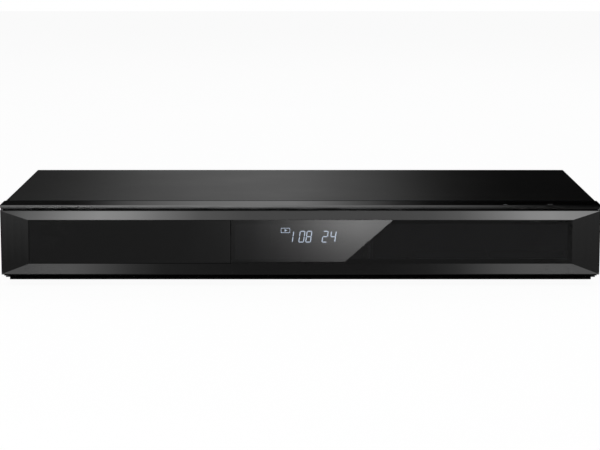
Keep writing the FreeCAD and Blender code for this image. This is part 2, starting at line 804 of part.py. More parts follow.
def disc_tray():
    """Disc tray with two recesses, a slot for the spindle and pickup, rails and a rack."""
    x = (drive_x - tray_half, drive_x + tray_half)
    plate = block(x, (tray_front_y, tray_back_y), (tray_plate_z, tray_top))
    rails = []
    for side in (-1, 1):
        middle = drive_x + side * (tray_half - tray_rail / 2)
        rails.append(block((middle - tray_rail / 2, middle + tray_rail / 2),
                           (tray_front_y, tray_back_y), (rail_bottom, tray_plate_z)))
    front = block((drive_x - tray_half + 8.0, drive_x + tray_half - 8.0),
                  (lid_back_y, tray_front_y), (tray_front_bottom, tray_front_top))
    rack = prism(rack_outline(gear_y, tray_front_y + 17.0, tray_back_y - 4.0), "z",
                 rail_bottom - 1.2, tray_plate_z)
    body = join([plate, front, rack] + rails)
    floor = tray_top - recess_depth
    cuts = [
        round_bar(disc_radius, (drive_x, spindle_y, floor), 5, "z"),
        round_bar(small_disc_radius, (drive_x, spindle_y, floor - small_recess_depth), 5, "z"),
        round_bar(tray_slot / 2, (drive_x, spindle_y, tray_plate_z - 1), 5, "z"),
        block((drive_x - tray_slot / 2, drive_x + tray_slot / 2), (spindle_y, tray_back_y + 1),
              (tray_plate_z - 1, tray_top + 1)),
    ]
    for side in (-1, 1):
        for turn in (-1, 1):
            cuts.append(round_bar(9.0, (drive_x + side * 44.0, spindle_y + turn * 44.0, floor), 5, "z"))
    return body.cut(cuts)


def loader_frame():
    """Moulded tub of the disc drive, with tray ledges, keepers and gear posts."""
    x = (drive_x - drive_half, drive_x + drive_half)
    tub = block(x, (drive_y, drive_back_y), (loader_z, loader_top))
    inside = block((x[0] + loader_wall, x[1] - loader_wall), (drive_y - 1, drive_back_y - loader_wall),
                   (loader_floor_z, loader_top + 1))
    sill = block(x, (drive_y, drive_y + loader_wall), (loader_z, tray_mouth_bottom - 2.3))
    ledges = []
    keepers = []
    for side in (-1, 1):
        wall = drive_x + side * (drive_half - loader_wall)
        inner = wall - side * (tray_rail + 1.0)
        low, high = sorted((wall, inner))
        ledges.append(block((low, high), (drive_y, drive_back_y - loader_wall),
                            (rail_bottom - moving_gap - 1.7, rail_bottom - moving_gap)))
        for y in (drive_y + 6.0, spindle_y + 30.0, drive_back_y - 20.0):
            keepers.append(block((low, high), (y, y + 10.0),
                                 (tray_top + moving_gap, tray_top + moving_gap + 1.7)))
    body = join([tub.cut(inside), sill] + ledges + keepers + loader_posts_and_guides())
    well = block((drive_x - 30.0, drive_x + 30.0), (spindle_y + 17.0 - traverse_half, drive_back_y - 28.0),
                 (loader_z - 1, loader_floor_z + 1))
    cuts = [well]
    for post_x, post_y in loader_posts:
        cuts.append(round_bar(1.6, (post_x, post_y, loader_z - 1), loader_floor + 2, "z"))
    return body.cut(cuts)


def loader_posts_and_guides():
    """Gear posts, guide posts of the traverse and guides of the cam slider."""
    pieces = []
    for x, low, high in (
        (tray_gear_x, tray_gear_low() - moving_gap, tray_gear_high() + 0.2),
        (pinion_x, pulley_z - moving_gap, pinion_high() + 1.0),
    ):
        pieces.append(round_bar(3.0, (x, gear_y, loader_floor_z), low - loader_floor_z, "z"))
        pieces.append(round_bar(gear_post, (x, gear_y, loader_floor_z), high - loader_floor_z, "z"))
    for side in (-1, 1):
        pieces.append(round_bar(2.0, (drive_x + side * 38.0, guide_post_y(), loader_floor_z),
                                traverse_top + lift_travel + 3.0 - loader_floor_z, "z"))
        for low, high in ((cam_front() - 2.3, cam_front() - 0.3), (cam_back() + 0.3, cam_back() + 2.3)):
            pieces.append(centred(drive_x + side * 41.0, (low + high) / 2, 4.0, high - low,
                                  (loader_floor_z, loader_floor_z + 8.0)))
    return pieces


def guide_post_y():
    """Guide posts stand behind the traverse's window."""
    return drive_back_y - 24.0


def tray_gear_low():
    return pulley_z + pulley_thickness + 0.6


def tray_gear_high():
    return tray_plate_z - moving_gap


def pinion_high():
    return tray_gear_low() + 3.4


def traverse_front():
    return spindle_y - 20.8


def cam_back():
    """Rear face of the cam slider, just ahead of the traverse's front tab."""
    return traverse_front() - 1.2 - 1.5


def cam_front():
    return cam_back() - cam_plate


def clamp_bridge():
    """Steel strip over the spindle that carries the clamp puck."""
    strip = centred(drive_x, spindle_y, drive_width, bridge_length,
                    (loader_top, loader_top + bridge_thickness))
    hole = round_bar(puck_neck + 0.4, (drive_x, spindle_y, loader_top - 1), 3, "z")
    windows = [centred(drive_x + side * 38.0, spindle_y, 26.0, 22.0, (loader_top - 1, loader_top + 2))
               for side in (-1, 1)]
    return strip.cut([hole] + windows)


def clamp_puck():
    """Magnetic clamp that hangs loosely in the bridge by its upper flange."""
    top = loader_top + bridge_thickness
    lower = round_bar(puck_plate, (drive_x, spindle_y, puck_bottom), 3.4, "z")
    neck = round_bar(puck_neck, (drive_x, spindle_y, puck_bottom), top - puck_bottom, "z")
    flange = round_bar(puck_flange, (drive_x, spindle_y, top), 1.2, "z")
    dish = round_bar(hub_radius + 0.8, (drive_x, spindle_y, puck_bottom - 1), 3.0, "z")
    return join([lower, neck, flange]).cut(dish)


def rod_ends():
    """Front and rear ends of the pickup's guide rods."""
    return spindle_y + 8.0, drive_back_y - 20.0


def traverse_frame():
    """Steel plate that carries the spindle motor and the pickup, with rod holders and cam pins."""
    front = traverse_front()
    first, last = rod_ends()
    z = (traverse_z, traverse_top)
    plate = block((drive_x - traverse_half, drive_x + traverse_half), (front, last), z)
    ears = block((drive_x - 42.0, drive_x + 42.0), (last - 10.0, last), z)
    tab = block((drive_x - 20.0, drive_x + 20.0), (front - 1.2, front), (traverse_z, traverse_z + 6.0))
    pieces = [plate, ears, tab]
    for side in (-1, 1):
        pin_place = (drive_x + side * cam_pin_x, cam_front() - 0.4, cam_pin_z)
        pieces.append(round_bar(cam_pin_radius, pin_place, front - cam_front() + 0.4, "y"))
        rod_x = drive_x + side * guide_rod_x
        for y in (first, last - 4.0):
            pieces.append(block((rod_x - 3.0, rod_x + 3.0), (y, y + 4.0), (traverse_z, guide_rod_z + 2.5)))
    pieces.append(block((drive_x + guide_rod_x, drive_x + lead_screw_x + 3.0), (last - 4.0, last),
                        (traverse_z, guide_rod_z + 2.5)))
    pieces.append(block((drive_x + lead_screw_x - 3.6, drive_x + lead_screw_x + 3.0),
                        (first - 18.0, first), (traverse_z, guide_rod_z - sled_motor_radius)))
    screw_end = (drive_x + lead_screw_x, last - 5.0, guide_rod_z)
    cuts = [
        round_bar(spindle_can + 0.2, (drive_x, spindle_y, traverse_z - 1), 3, "z"),
        block((drive_x - 20.0, drive_x + 20.0), (first + 10.0, last - 8.0),
              (traverse_z - 1, traverse_top + 1)),
        round_bar(lead_screw_radius + shaft_gap, screw_end, 8, "y"),
    ]
    for side in (-1, 1):
        rod_start = (drive_x + side * guide_rod_x, first - 1, guide_rod_z)
        post_place = (drive_x + side * 38.0, guide_post_y(), traverse_z - 1)
        cuts.append(round_bar(guide_rod_radius, rod_start, last - first + 2, "y"))
        cuts.append(round_bar(2.0 + shaft_gap, post_place, 4, "z"))
    return join(pieces).cut(cuts)


def guide_rods():
    """Two ground steel rods that the pickup slides on."""
    first, last = rod_ends()
    return [
        round_bar(guide_rod_radius, (drive_x + side * guide_rod_x, first, guide_rod_z), last - first, "y")
        for side in (-1, 1)
    ]


def spindle_motor():
    """Flat motor under the turntable, let into the traverse plate."""
    can = round_bar(spindle_can, (drive_x, spindle_y, traverse_z - 2.5), 2.5 + traverse_plate + 0.2, "z")
    flange = round_bar(spindle_flange, (drive_x, spindle_y, traverse_top), 1.0, "z")
    neck = round_bar(spindle_neck, (drive_x, spindle_y, traverse_top),
                     turntable_z - 1.5 - traverse_top, "z")
    bore = round_bar(spindle_shaft + shaft_gap, (drive_x, spindle_y, traverse_z), 20, "z")
    return join([can, flange, neck]).cut(bore)


def turntable():
    """Turntable with its centring hub and shaft."""
    plate = round_bar(turntable_radius, (drive_x, spindle_y, turntable_z), turntable_plate, "z")
    hub = Part.makeCone(hub_radius, hub_radius - 0.9, hub_height,
                        Vector(drive_x, spindle_y, turntable_z + turntable_plate), AXES["z"])
    shaft = round_bar(spindle_shaft, (drive_x, spindle_y, traverse_z + 0.3),
                      turntable_z - traverse_z, "z")
    body = join([plate, hub, shaft])
    notches = []
    for step in range(3):
        angle = 2 * math.pi * step / 3
        x = drive_x + (hub_radius - 0.6) * math.cos(angle)
        y = spindle_y + (hub_radius - 0.6) * math.sin(angle)
        notches.append(round_bar(1.0, (x, y, turntable_z + turntable_plate + 0.3), 4, "z"))
    return body.cut(notches)


def lens_y():
    return spindle_y + sled_inner


def pickup_sled():
    """Die-cast pickup carriage on the two rods, with an ear round the lead screw."""
    y = (lens_y() - sled_ahead, lens_y() + sled_behind)
    body = block((drive_x - guide_rod_x - 4.0, drive_x + guide_rod_x + 4.0), y, (sled_bottom, sled_top))
    ear = block((drive_x + guide_rod_x + 3.0, drive_x + lead_screw_x + 2.8), (y[0] + 8.0, y[0] + 12.0),
                (sled_bottom, sled_top - 0.6))
    cuts = [round_bar(lead_screw_radius + moving_gap, (drive_x + lead_screw_x, y[0], guide_rod_z), 30, "y")]
    for side in (-1, 1):
        cuts.append(round_bar(guide_rod_radius + shaft_gap,
                              (drive_x + side * guide_rod_x, y[0] - 1, guide_rod_z), 30, "y"))
        cuts.append(block((drive_x + side * 15.0 - 3.0, drive_x + side * 15.0 + 3.0),
                          (y[0] + 3.0, y[1] - 3.0), (sled_top - 2.0, sled_top + 1)))
    return join([body, ear]).cut(cuts)


def pickup_lens():
    """Objective lens in its holder."""
    holder = centred(drive_x, lens_y(), 9.0, 9.0, (sled_top, sled_top + 1.0))
    glass = Part.makeCone(lens_radius, lens_radius - 1.2, lens_height - 1.0,
                          Vector(drive_x, lens_y(), sled_top + 1.0), AXES["z"])
    return join([holder, glass])


def lead_screw():
    """Screw that moves the pickup, from the small motor to the rear holder."""
    first, last = rod_ends()
    bar = round_bar(lead_screw_radius, (drive_x + lead_screw_x, first - 2.0, guide_rod_z),
                    last - first + 2.0, "y")
    grooves = []
    for step in range(20):
        y = first + 3.0 + step * 3.2
        ring = round_bar(lead_screw_radius + 1, (drive_x + lead_screw_x, y, guide_rod_z), 0.8, "y")
        core = round_bar(lead_screw_radius - 0.3, (drive_x + lead_screw_x, y, guide_rod_z), 0.8, "y")
        grooves.append(ring.cut(core))
    return bar.cut(grooves)


def sled_motor():
    """Small stepper that turns the lead screw."""
    first = rod_ends()[0]
    can = round_bar(sled_motor_radius, (drive_x + lead_screw_x, first - 18.0, guide_rod_z), 17.0, "y")
    screw_end = (drive_x + lead_screw_x, first - 2.5, guide_rod_z)
    return can.cut(round_bar(lead_screw_radius + shaft_gap, screw_end, 4, "y"))


def cam_slider():
    """Plate with two sloping slots that lifts the traverse as it slides sideways."""
    z = (loader_floor_z + moving_gap, cam_pin_z + lift_travel + cam_pin_radius + 1.2)
    plate = block((drive_x - cam_half, drive_x + cam_half), (cam_front(), cam_back()), z)
    room = cam_pin_radius + 0.15
    slots = []
    for side in (-1, 1):
        x = drive_x + side * cam_pin_x
        ends = [(x, cam_pin_z), (x + cam_run, cam_pin_z + lift_travel)]
        for end_x, end_z in ends:
            slots.append(round_bar(room, (end_x, cam_front() - 1, end_z), cam_plate + 2, "y"))
        length = math.hypot(cam_run, lift_travel)
        shift_x = -lift_travel / length * room
        shift_z = cam_run / length * room
        outline = [
            (ends[0][0] + shift_x, ends[0][1] + shift_z),
            (ends[1][0] + shift_x, ends[1][1] + shift_z),
            (ends[1][0] - shift_x, ends[1][1] - shift_z),
            (ends[0][0] - shift_x, ends[0][1] - shift_z),
        ]
        slots.append(prism(outline, "y", cam_front() - 1, cam_back() + 1))
    return plate.cut(slots)


def tray_gear():
    """Gear between the tray's rack and the pinion of the belt pulley."""
    wheel = gear_wheel(tray_gear_x, gear_y, tray_gear_teeth, math.pi, tray_gear_low(), tray_gear_high())
    return wheel.cut(round_bar(gear_bore, (tray_gear_x, gear_y, tray_gear_low() - 1), 20, "z"))


def belt_pulley(x, radius, low):
    """A disc with a square groove for the belt, between two heights."""
    disc = round_bar(radius + 1.0, (x, gear_y, low), pulley_thickness, "z")
    middle = low + pulley_thickness / 2
    room = belt_size / 2 + belt_gap
    ring = round_bar(radius + 3, (x, gear_y, middle - room), 2 * room, "z")
    core = round_bar(radius - belt_size / 2, (x, gear_y, middle - room), 2 * room, "z")
    return disc.cut(ring.cut(core))


def pulley_gear():
    """Belt pulley with a pinion on top."""
    pulley = belt_pulley(pinion_x, pulley_radius, pulley_z)
    half_tooth = math.pi / pinion_teeth
    pinion = gear_wheel(pinion_x, gear_y, pinion_teeth, half_tooth, pulley_z + pulley_thickness,
                        pinion_high())
    bore = round_bar(gear_bore, (pinion_x, gear_y, pulley_z - 1), 20, "z")
    return join([pulley, pinion]).cut(bore)


def motor_pulley():
    """Small belt pulley on the loading motor's shaft."""
    pulley = belt_pulley(motor_x, motor_pulley_radius, pulley_z)
    shaft = round_bar(1.0, (motor_x, gear_y, pulley_z - 5.0), 5.0 + pulley_thickness, "z")
    return join([pulley, shaft])


def loading_motor():
    """Motor that opens and closes the tray."""
    top = pulley_z - 0.8
    can = round_bar(motor_radius, (motor_x, gear_y, loader_floor_z), top - loader_floor_z, "z")
    return can.cut(round_bar(1.0 + shaft_gap, (motor_x, gear_y, pulley_z - 5.2), 10, "z"))


def loop_face(inset, z):
    """Flat outline of the belt's path: two arcs and the straight runs between them."""
    big = pulley_radius + inset
    small = motor_pulley_radius + inset
    span = motor_x - pinion_x
    lean = math.acos((big - small) / span)
    cos, sin = math.cos(lean), math.sin(lean)

    def on(x, radius, across, along):
        return Vector(x + radius * across, gear_y + radius * along, z)

    big_arc = Part.Arc(on(pinion_x, big, cos, sin), on(pinion_x, big, -1, 0),
                       on(pinion_x, big, cos, -sin))
    small_arc = Part.Arc(on(motor_x, small, cos, -sin), on(motor_x, small, 1, 0),
                         on(motor_x, small, cos, sin))
    lower = Part.LineSegment(on(pinion_x, big, cos, -sin), on(motor_x, small, cos, -sin))
    upper = Part.LineSegment(on(motor_x, small, cos, sin), on(pinion_x, big, cos, sin))
    edges = [big_arc.toShape(), lower.toShape(), small_arc.toShape(), upper.toShape()]
    return Part.Face(Part.Wire(edges))


def drive_belt():
    """Square rubber belt round both pulleys."""
    low = pulley_z + pulley_thickness / 2 - belt_size / 2
    outer = loop_face(belt_size / 2 + belt_gap, low).extrude(AXES["z"] * belt_size)
    inner = loop_face(-belt_size / 2 + belt_gap, low - 1).extrude(AXES["z"] * (belt_size + 2))
    return outer.cut(inner)


def hard_disk():
    """Hard disk: cast body, stepped lid and connector block."""
    x = (hard_disk_x, hard_disk_x + hard_disk_length)
    y = (hard_disk_y, hard_disk_y + hard_disk_width)
    low = bracket_z + bracket_sheet
    high = low + hard_disk_height
    body = rounded(block(x, y, (low, high - 1.0)), 3.0, "z")
    lid = rounded(block((x[0] + 4.0, x[1] - 4.0), (y[0] + 3.0, y[1] - 3.0), (high - 1.5, high)), 8.0, "z")
    socket = block((x[0] - 1, x[0] + 5.0), (y[0] + 10.0, y[0] + 50.0), (low + 1.5, low + 6.5))
    return join([body, lid]).cut(socket)


def hard_disk_bracket():
    """Steel shelf that carries the hard disk over the main board, on four posts."""
    x = (hard_disk_x, hard_disk_x + hard_disk_length)
    y = (hard_disk_y, hard_disk_y + hard_disk_width)
    high = bracket_z + bracket_sheet
    shelf = block(x, (y[0] - bracket_sheet, y[1] + bracket_sheet), (bracket_z, high))
    flanges = [
        block((x[0] + 10.0, x[1] - 10.0), (y[0] - bracket_sheet, y[0]), (bracket_z, high + 8.0)),
        block((x[0] + 10.0, x[1] - 10.0), (y[1], y[1] + bracket_sheet), (bracket_z, high + 8.0)),
    ]
    posts = [round_bar(stand_off_radius, (px, py, floor_z), bracket_z - floor_z, "z")
             for px, py in hard_disk_posts]
    windows = [
        block((x[0] + 20.0 + step * 56.0, x[0] + 66.0 + step * 56.0), (y[0] + 20.0, y[1] - 20.0),
              (bracket_z - 1, high + 1))
        for step in range(2)
    ]
    return join([shelf] + flanges + posts).cut(windows)


def main_board():
    """Stepped circuit board over the middle and the right front."""
    z = (main_board_z, main_board_top)
    front = block((main_board_left, cage_right + 2.0), (main_board_front, main_board_step_y), z)
    rear = block((main_board_left, main_board_step_x), (main_board_step_y, main_board_back), z)
    holes = [round_bar(stand_off_radius + 0.5, (x, y, main_board_z - 1), 4, "z")
             for x, y in hard_disk_posts]
    holes += [round_bar(1.6, (x, y, main_board_z - 1), 4, "z") for x, y in main_board_screws]
    return join([front, rear]).cut(holes)


def board_chips():
    """Processor, memories and other chips on the main board."""
    across, along = processor_place
    chips = [centred(across, along, 27.0, 27.0, (main_board_top, main_board_top + processor_height))]
    for right, back, length, width, height in (
        (-32.0, -8.0, 14.0, 10.0, 1.1), (-32.0, 10.0, 14.0, 10.0, 1.1), (26.0, 8.0, 10.0, 14.0, 1.1),
        (-60.0, -24.0, 16.0, 16.0, 1.4), (-20.0, -40.0, 12.0, 12.0, 1.2), (-54.0, 20.0, 10.0, 8.0, 1.2),
        (46.0, 26.0, 9.0, 9.0, 1.2), (30.0, 50.0, 12.0, 12.0, 1.4), (-10.0, 54.0, 7.0, 7.0, 1.0),
    ):
        chips.append(centred(across + right, along + back, length, width,
                             (main_board_top, main_board_top + height)))
    return chips


def heat_sink():
    """Finned aluminium block on the processor."""
    across, along = processor_place
    low = main_board_top + processor_height
    base = centred(across, along, 34.0, 34.0, (low, low + 2.0))
    fins = []
    for step in range(9):
        x = across - 16.0 + step * 4.0
        fins.append(centred(x, along, 1.2, 34.0, (low + 2.0, bracket_z - heat_sink_gap)))
    return join([base] + fins)


def tuner_can():
    """Screened tuner module at the rear."""
    left = main_board_left + 1.6
    high = main_board_top + 11.0
    can = block((left, left + 38.0), (tuner_y, panel_inner_y - 0.3), (main_board_top, high))
    pitch = (panel_inner_y - tuner_y) / 5
    holes = []
    for across in range(4):
        for along in range(4):
            place = (left + 6.4 + 8.0 * across, tuner_y + pitch * (along + 1), high - 0.6)
            holes.append(round_bar(1.5, place, 2, "z"))
    return can.cut(holes)


def socket_barrel(x, z, radius, start):
    """Round barrel of a rear socket, with a collar in the panel and a groove at its foot."""
    collar_y = panel_outer_y + collar_reach
    barrel = round_bar(radius, (x, start, z), sockets_y - start, "y")
    collar = round_bar(radius + collar_wall, (x, start, z), collar_y - start, "y")
    ring = round_bar(radius + collar_wall, (x, collar_y, z), barrel_relief, "y")
    core = round_bar(radius - barrel_relief, (x, collar_y, z), barrel_relief, "y")
    return join([barrel, collar]).cut(ring.cut(core))


def aerial_sockets():
    """Two coaxial aerial barrels with flanges, through the rear panel."""
    solids = []
    for x, z in aerial_places:
        bore = round_bar(3.6, (x, panel_inner_y + 0.4, z), 20, "y")
        pin = round_bar(0.6, (x, panel_inner_y, z), 6, "y")
        solids.append(join([socket_barrel(x, z, aerial_radius, panel_inner_y - 0.3).cut(bore), pin]))
    return solids


def video_socket():
    """Digital video socket: flat steel shell with a contact tongue."""
    low, high, top = video_place
    y = (panel_outer_y - 11.0, panel_outer_y)
    shell = block((low, high), y, (main_board_top, top))
    cavity = block((low + 0.6, high - 0.6), (y[0] + 2.0, y[1] + 1), (main_board_top + 0.7, top - 0.7))
    tongue = block((low + 2.0, high - 2.0), (y[0] + 1.0, y[1] - 1.5),
                   (main_board_top + 2.3, main_board_top + 3.9))
    return join([shell.cut(cavity), tongue])


def network_socket():
    """Network socket with its square mouth and latch notch."""
    low, high, top = network_place
    y = (panel_outer_y - 21.0, panel_outer_y)
    middle = (low + high) / 2
    shell = block((low, high), y, (main_board_top, top))
    mouth = centred(middle, panel_outer_y - 6.0, 11.8, 13.0, (main_board_top + 4.2, main_board_top + 11.0))
    notch = centred(middle, panel_outer_y - 6.0, 6.2, 13.0, (main_board_top + 2.4, main_board_top + 5.0))
    return shell.cut([mouth, notch])


def audio_video_jacks():
    """Four phono jacks in a two-by-two block."""
    columns = [x for x, z in jack_places]
    rows = [z for x, z in jack_places]
    block_top = max(rows) + 7.0
    housing = block((min(columns) - 7.0, max(columns) + 7.0), (panel_inner_y - 14.0, panel_inner_y),
                    (main_board_top, block_top))
    solids = [housing]
    cuts = []
    for x, z in jack_places:
        solids.append(socket_barrel(x, z, barrel_radius, panel_inner_y - 1))
        cuts.append(round_bar(1.7, (x, panel_inner_y - 6, z), 30, "y"))
    return join(solids).cut(cuts)


def power_board():
    """Power supply board at the right rear."""
    board = block((power_board_left, power_board_right), (power_board_front, power_board_back),
                  (power_board_z, power_board_top))
    holes = [round_bar(1.6, (x, y, power_board_z - 1), 4, "z") for x, y in power_board_screws]
    return board.cut(holes)


def transformer():
    """Mains transformer: ferrite core round a wound bobbin."""
    x = power_board_left + 38.0
    y = power_board_front + 36.0
    core = centred(x, y, 32.0, 12.0, (power_board_top + 3.0, power_board_top + 26.0))
    bobbin = centred(x, y, 24.0, 26.0, (power_board_top, power_board_top + 3.0))
    winding = centred(x, y, 22.0, 24.0, (power_board_top + 3.0, power_board_top + 22.0))
    return join([core, bobbin, winding])


def capacitors():
    """Electrolytic capacitors on the power board."""
    solids = []
    for across, along, radius, height in (
        (68.0, 18.0, 9.0, 30.0), (36.0, 10.0, 5.0, 18.0), (12.0, 34.0, 5.0, 20.0), (12.0, 50.0, 5.0, 20.0),
        (50.0, 64.0, 4.0, 12.0),
    ):
        can = round_bar(radius, (power_board_left + across, power_board_front + along, power_board_top),
                        height, "z")
        top = [edge for edge in can.Edges if abs(edge.CenterOfMass.z - power_board_top - height) < 1e-6]
        solids.append(can.makeFillet(0.8, top[:1]))
    return solids


def ac_inlet():
    """Two-pole mains inlet with a figure-of-eight recess and two pins."""
    z = (power_board_top, inlet_top)
    body = block((inlet_x - 11.0, inlet_x + 11.0), (panel_outer_y - 20.0, panel_outer_y), z)
    flange = block((inlet_x - 12.5, inlet_x + 12.5), (panel_outer_y, panel_outer_y + 1.0),
                   (z[0] + 0.6, z[1] + 1.0))
    middle = (z[0] + z[1]) / 2
    recess = [
        round_bar(4.2, (inlet_x + side * 4.3, panel_outer_y - 12.0, middle), 20, "y") for side in (-1, 1)
    ]
    recess.append(block((inlet_x - 4.3, inlet_x + 4.3), (panel_outer_y - 12.0, panel_outer_y + 8),
                        (middle - 3.4, middle + 3.4)))
    pins = [
        round_bar(1.2, (inlet_x + side * 4.3, panel_outer_y - 13.0, middle), 11.0, "y") for side in (-1, 1)
    ]
    return join([join([body, flange]).cut(recess)] + pins)


def fan_housing():
    """Square fan frame with a hub on three arms."""
    y = (fan_y, panel_inner_y)
    half = fan_size / 2
    frame = rounded(block((fan_x - half, fan_x + half), y, (fan_z - half, fan_z + half)), 3.0, "y")
    bore = round_bar(fan_bore, (fan_x, fan_y - 1, fan_z), fan_depth + 2, "y")
    holes = [round_bar(1.45, (x, fan_y - 1, z), fan_depth + 2, "y") for x, z in fan_screws()]
    pieces = [frame.cut([bore] + holes)]
    pieces.append(round_bar(fan_hub, (fan_x, fan_y, fan_z), 2.0, "y"))
    for step in range(3):
        arm = block((fan_x - 1.2, fan_x + 1.2), (fan_y, fan_y + 2.0), (fan_z + 6.0, fan_z + fan_bore + 0.5))
        arm.rotate(Vector(fan_x, fan_y, fan_z), AXES["y"], 120 * step + 30)
        pieces.append(arm)
    shaft_bore = round_bar(1.2 + shaft_gap, (fan_x, fan_y - 1, fan_z), 6, "y")
    return join(pieces).cut(shaft_bore)


def fan_rotor():
    """Fan hub with slanted blades and its shaft."""
    start = fan_y + 2.5
    length = fan_depth - 3.5
    hub = round_bar(fan_hub, (fan_x, start, fan_z), length, "y")
    shaft = round_bar(1.2, (fan_x, fan_y + 0.2, fan_z), 4, "y")
    pieces = [hub, shaft]
    middle = start + length / 2
    for step in range(fan_blades):
        blade = block((fan_x - 4.4, fan_x + 4.4), (middle - 0.5, middle + 0.5),
                      (fan_z + fan_hub - 1.5, fan_z + fan_bore - 1.2))
        blade.rotate(Vector(fan_x, middle, fan_z), AXES["z"], 36)
        blade.rotate(Vector(fan_x, middle, fan_z), AXES["y"], 360 * step / fan_blades)
        pieces.append(blade)
    limit = round_bar(fan_bore - 0.6, (fan_x, fan_y, fan_z), fan_depth, "y")
    return join(pieces).common(limit)


def module_cage():
    """Steel cage with two slots side by side for plug-in modules."""
    y = (bezel_wall_back + 0.2, bezel_wall_back + 0.2 + slot_depth + 2.0)
    cage = block((cage_left, cage_right), y, (main_board_top, main_board_top + cage_height))
    bays = [
        block((left, left + slot_width), (y[0] - 1, y[0] + slot_depth),
              (slot_bottom, slot_bottom + slot_height))
        for left in slot_lefts
    ]
    return cage.cut(bays)


def front_data_socket():
    """Upright data socket at the front edge of the main board."""
    x = (data_left, data_left + data_width)
    y = (bezel_y + 0.2, bezel_y + 16.0)
    shell = block(x, y, (main_board_top, main_board_top + data_height))
    cavity = block((x[0] + 0.45, x[1] - 0.45), (y[0] - 1, y[1] - 3.0),
                   (main_board_top + 0.95, main_board_top + data_height - 0.95))
    tongue = block((x[0] + 2.9, x[1] - 1.3), (y[0] + 1.2, y[1] - 2.0),
                   (main_board_top + 1.7, main_board_top + data_height - 1.7))
    return join([shell.cut(cavity), tongue])


def card_slot():
    """Memory card slot beside the data socket."""
    x = (card_left, card_left + card_width)
    y = (bezel_wall_back + 0.2, bezel_wall_back + 25.0)
    shell = block(x, y, (main_board_top, main_board_top + card_height))
    mouth = block((x[0] + 0.9, x[1] - 0.9), (y[0] - 1, y[1] - 2.0),
                  (main_board_top + 0.5, main_board_top + card_height - 0.5))
    return shell.cut(mouth)


def front_board():
    """Circuit board behind the display."""
    return block((front_board_left, front_board_right), (front_board_y, front_board_y + board_thickness),
                 (front_board_bottom, front_board_top))


def display_module():
    """Flat glass display, between the front frame and its board."""
    return block((display_left, display_right), (bezel_wall_back + 0.1, front_board_y),
                 (display_bottom, display_top))


def ir_receiver():
    """Remote control receiver with its round window."""
    body = centred(receiver_x, front_board_y - 1.7, 6.0, 3.4, (receiver_z - 3.5, receiver_z + 3.5))
    dome = round_bar(2.4, (receiver_x, bezel_y + 0.6, receiver_z), front_board_y - bezel_y - 1.0, "y")
    return join([body, dome])


def flat_cables():
    """Flat ribbon cables to the front board and to the button board."""
    thin = 0.4
    front = front_board_y + board_thickness
    down = block((0.0, 16.0), (front, front + thin), (main_board_top, front_board_bottom + 6.0))
    along = block((0.0, 16.0), (front, front + 8.0), (main_board_top, main_board_top + thin))
    button_low = main_board_top + cage_height
    right = board_arms[0]
    y = bezel_wall_back + 9.0
    drop = block((right - 12.0, right - 4.0), (y, y + thin), (button_low, button_board_z + board_thickness))
    foot = block((right - 12.0, right - 4.0), (y, y + 8.0), (button_low, button_low + thin))
    return [join([down, along]), join([drop, foot])]


def rubber_feet():
    """Four rubber feet with a bevelled tread."""
    solids = []
    for x in (-half_width + foot_inset_x, half_width - foot_inset_x):
        for y in (front_y + foot_front_y, cover_rear_y - foot_rear_y):
            foot = round_bar(foot_radius, (x, y, 0.0), foot_height, "z")
            tread = [edge for edge in foot.Edges if abs(edge.CenterOfMass.z) < 1e-6]
            foot = foot.makeChamfer(0.8, tread[:1])
            solids.append(foot.cut(round_bar(foot_radius - 4.0, (x, y, -1.0), 2.0, "z")))
    return solids


def casing_screws():
    """Screws of the cover and the fan, on the rear panel."""
    solids = [screw((x, cover_rear_y, z), "y", 1, 5.0) for x, z in rear_screws]
    solids += [screw((x, panel_outer_y, z), "y", 1, 8.0) for x, z in fan_screws()]
    return solids


def inner_screws():
    """Screws of the disc drive and the boards."""
    solids = [screw((x, y, loader_floor_z), "z", 1, 4.0) for x, y in loader_posts]
    solids += [screw((x, y, main_board_top), "z", 1, 6.0) for x, y in main_board_screws]
    solids += [screw((x, y, power_board_top), "z", 1, 6.0) for x, y in power_board_screws]
    return solids


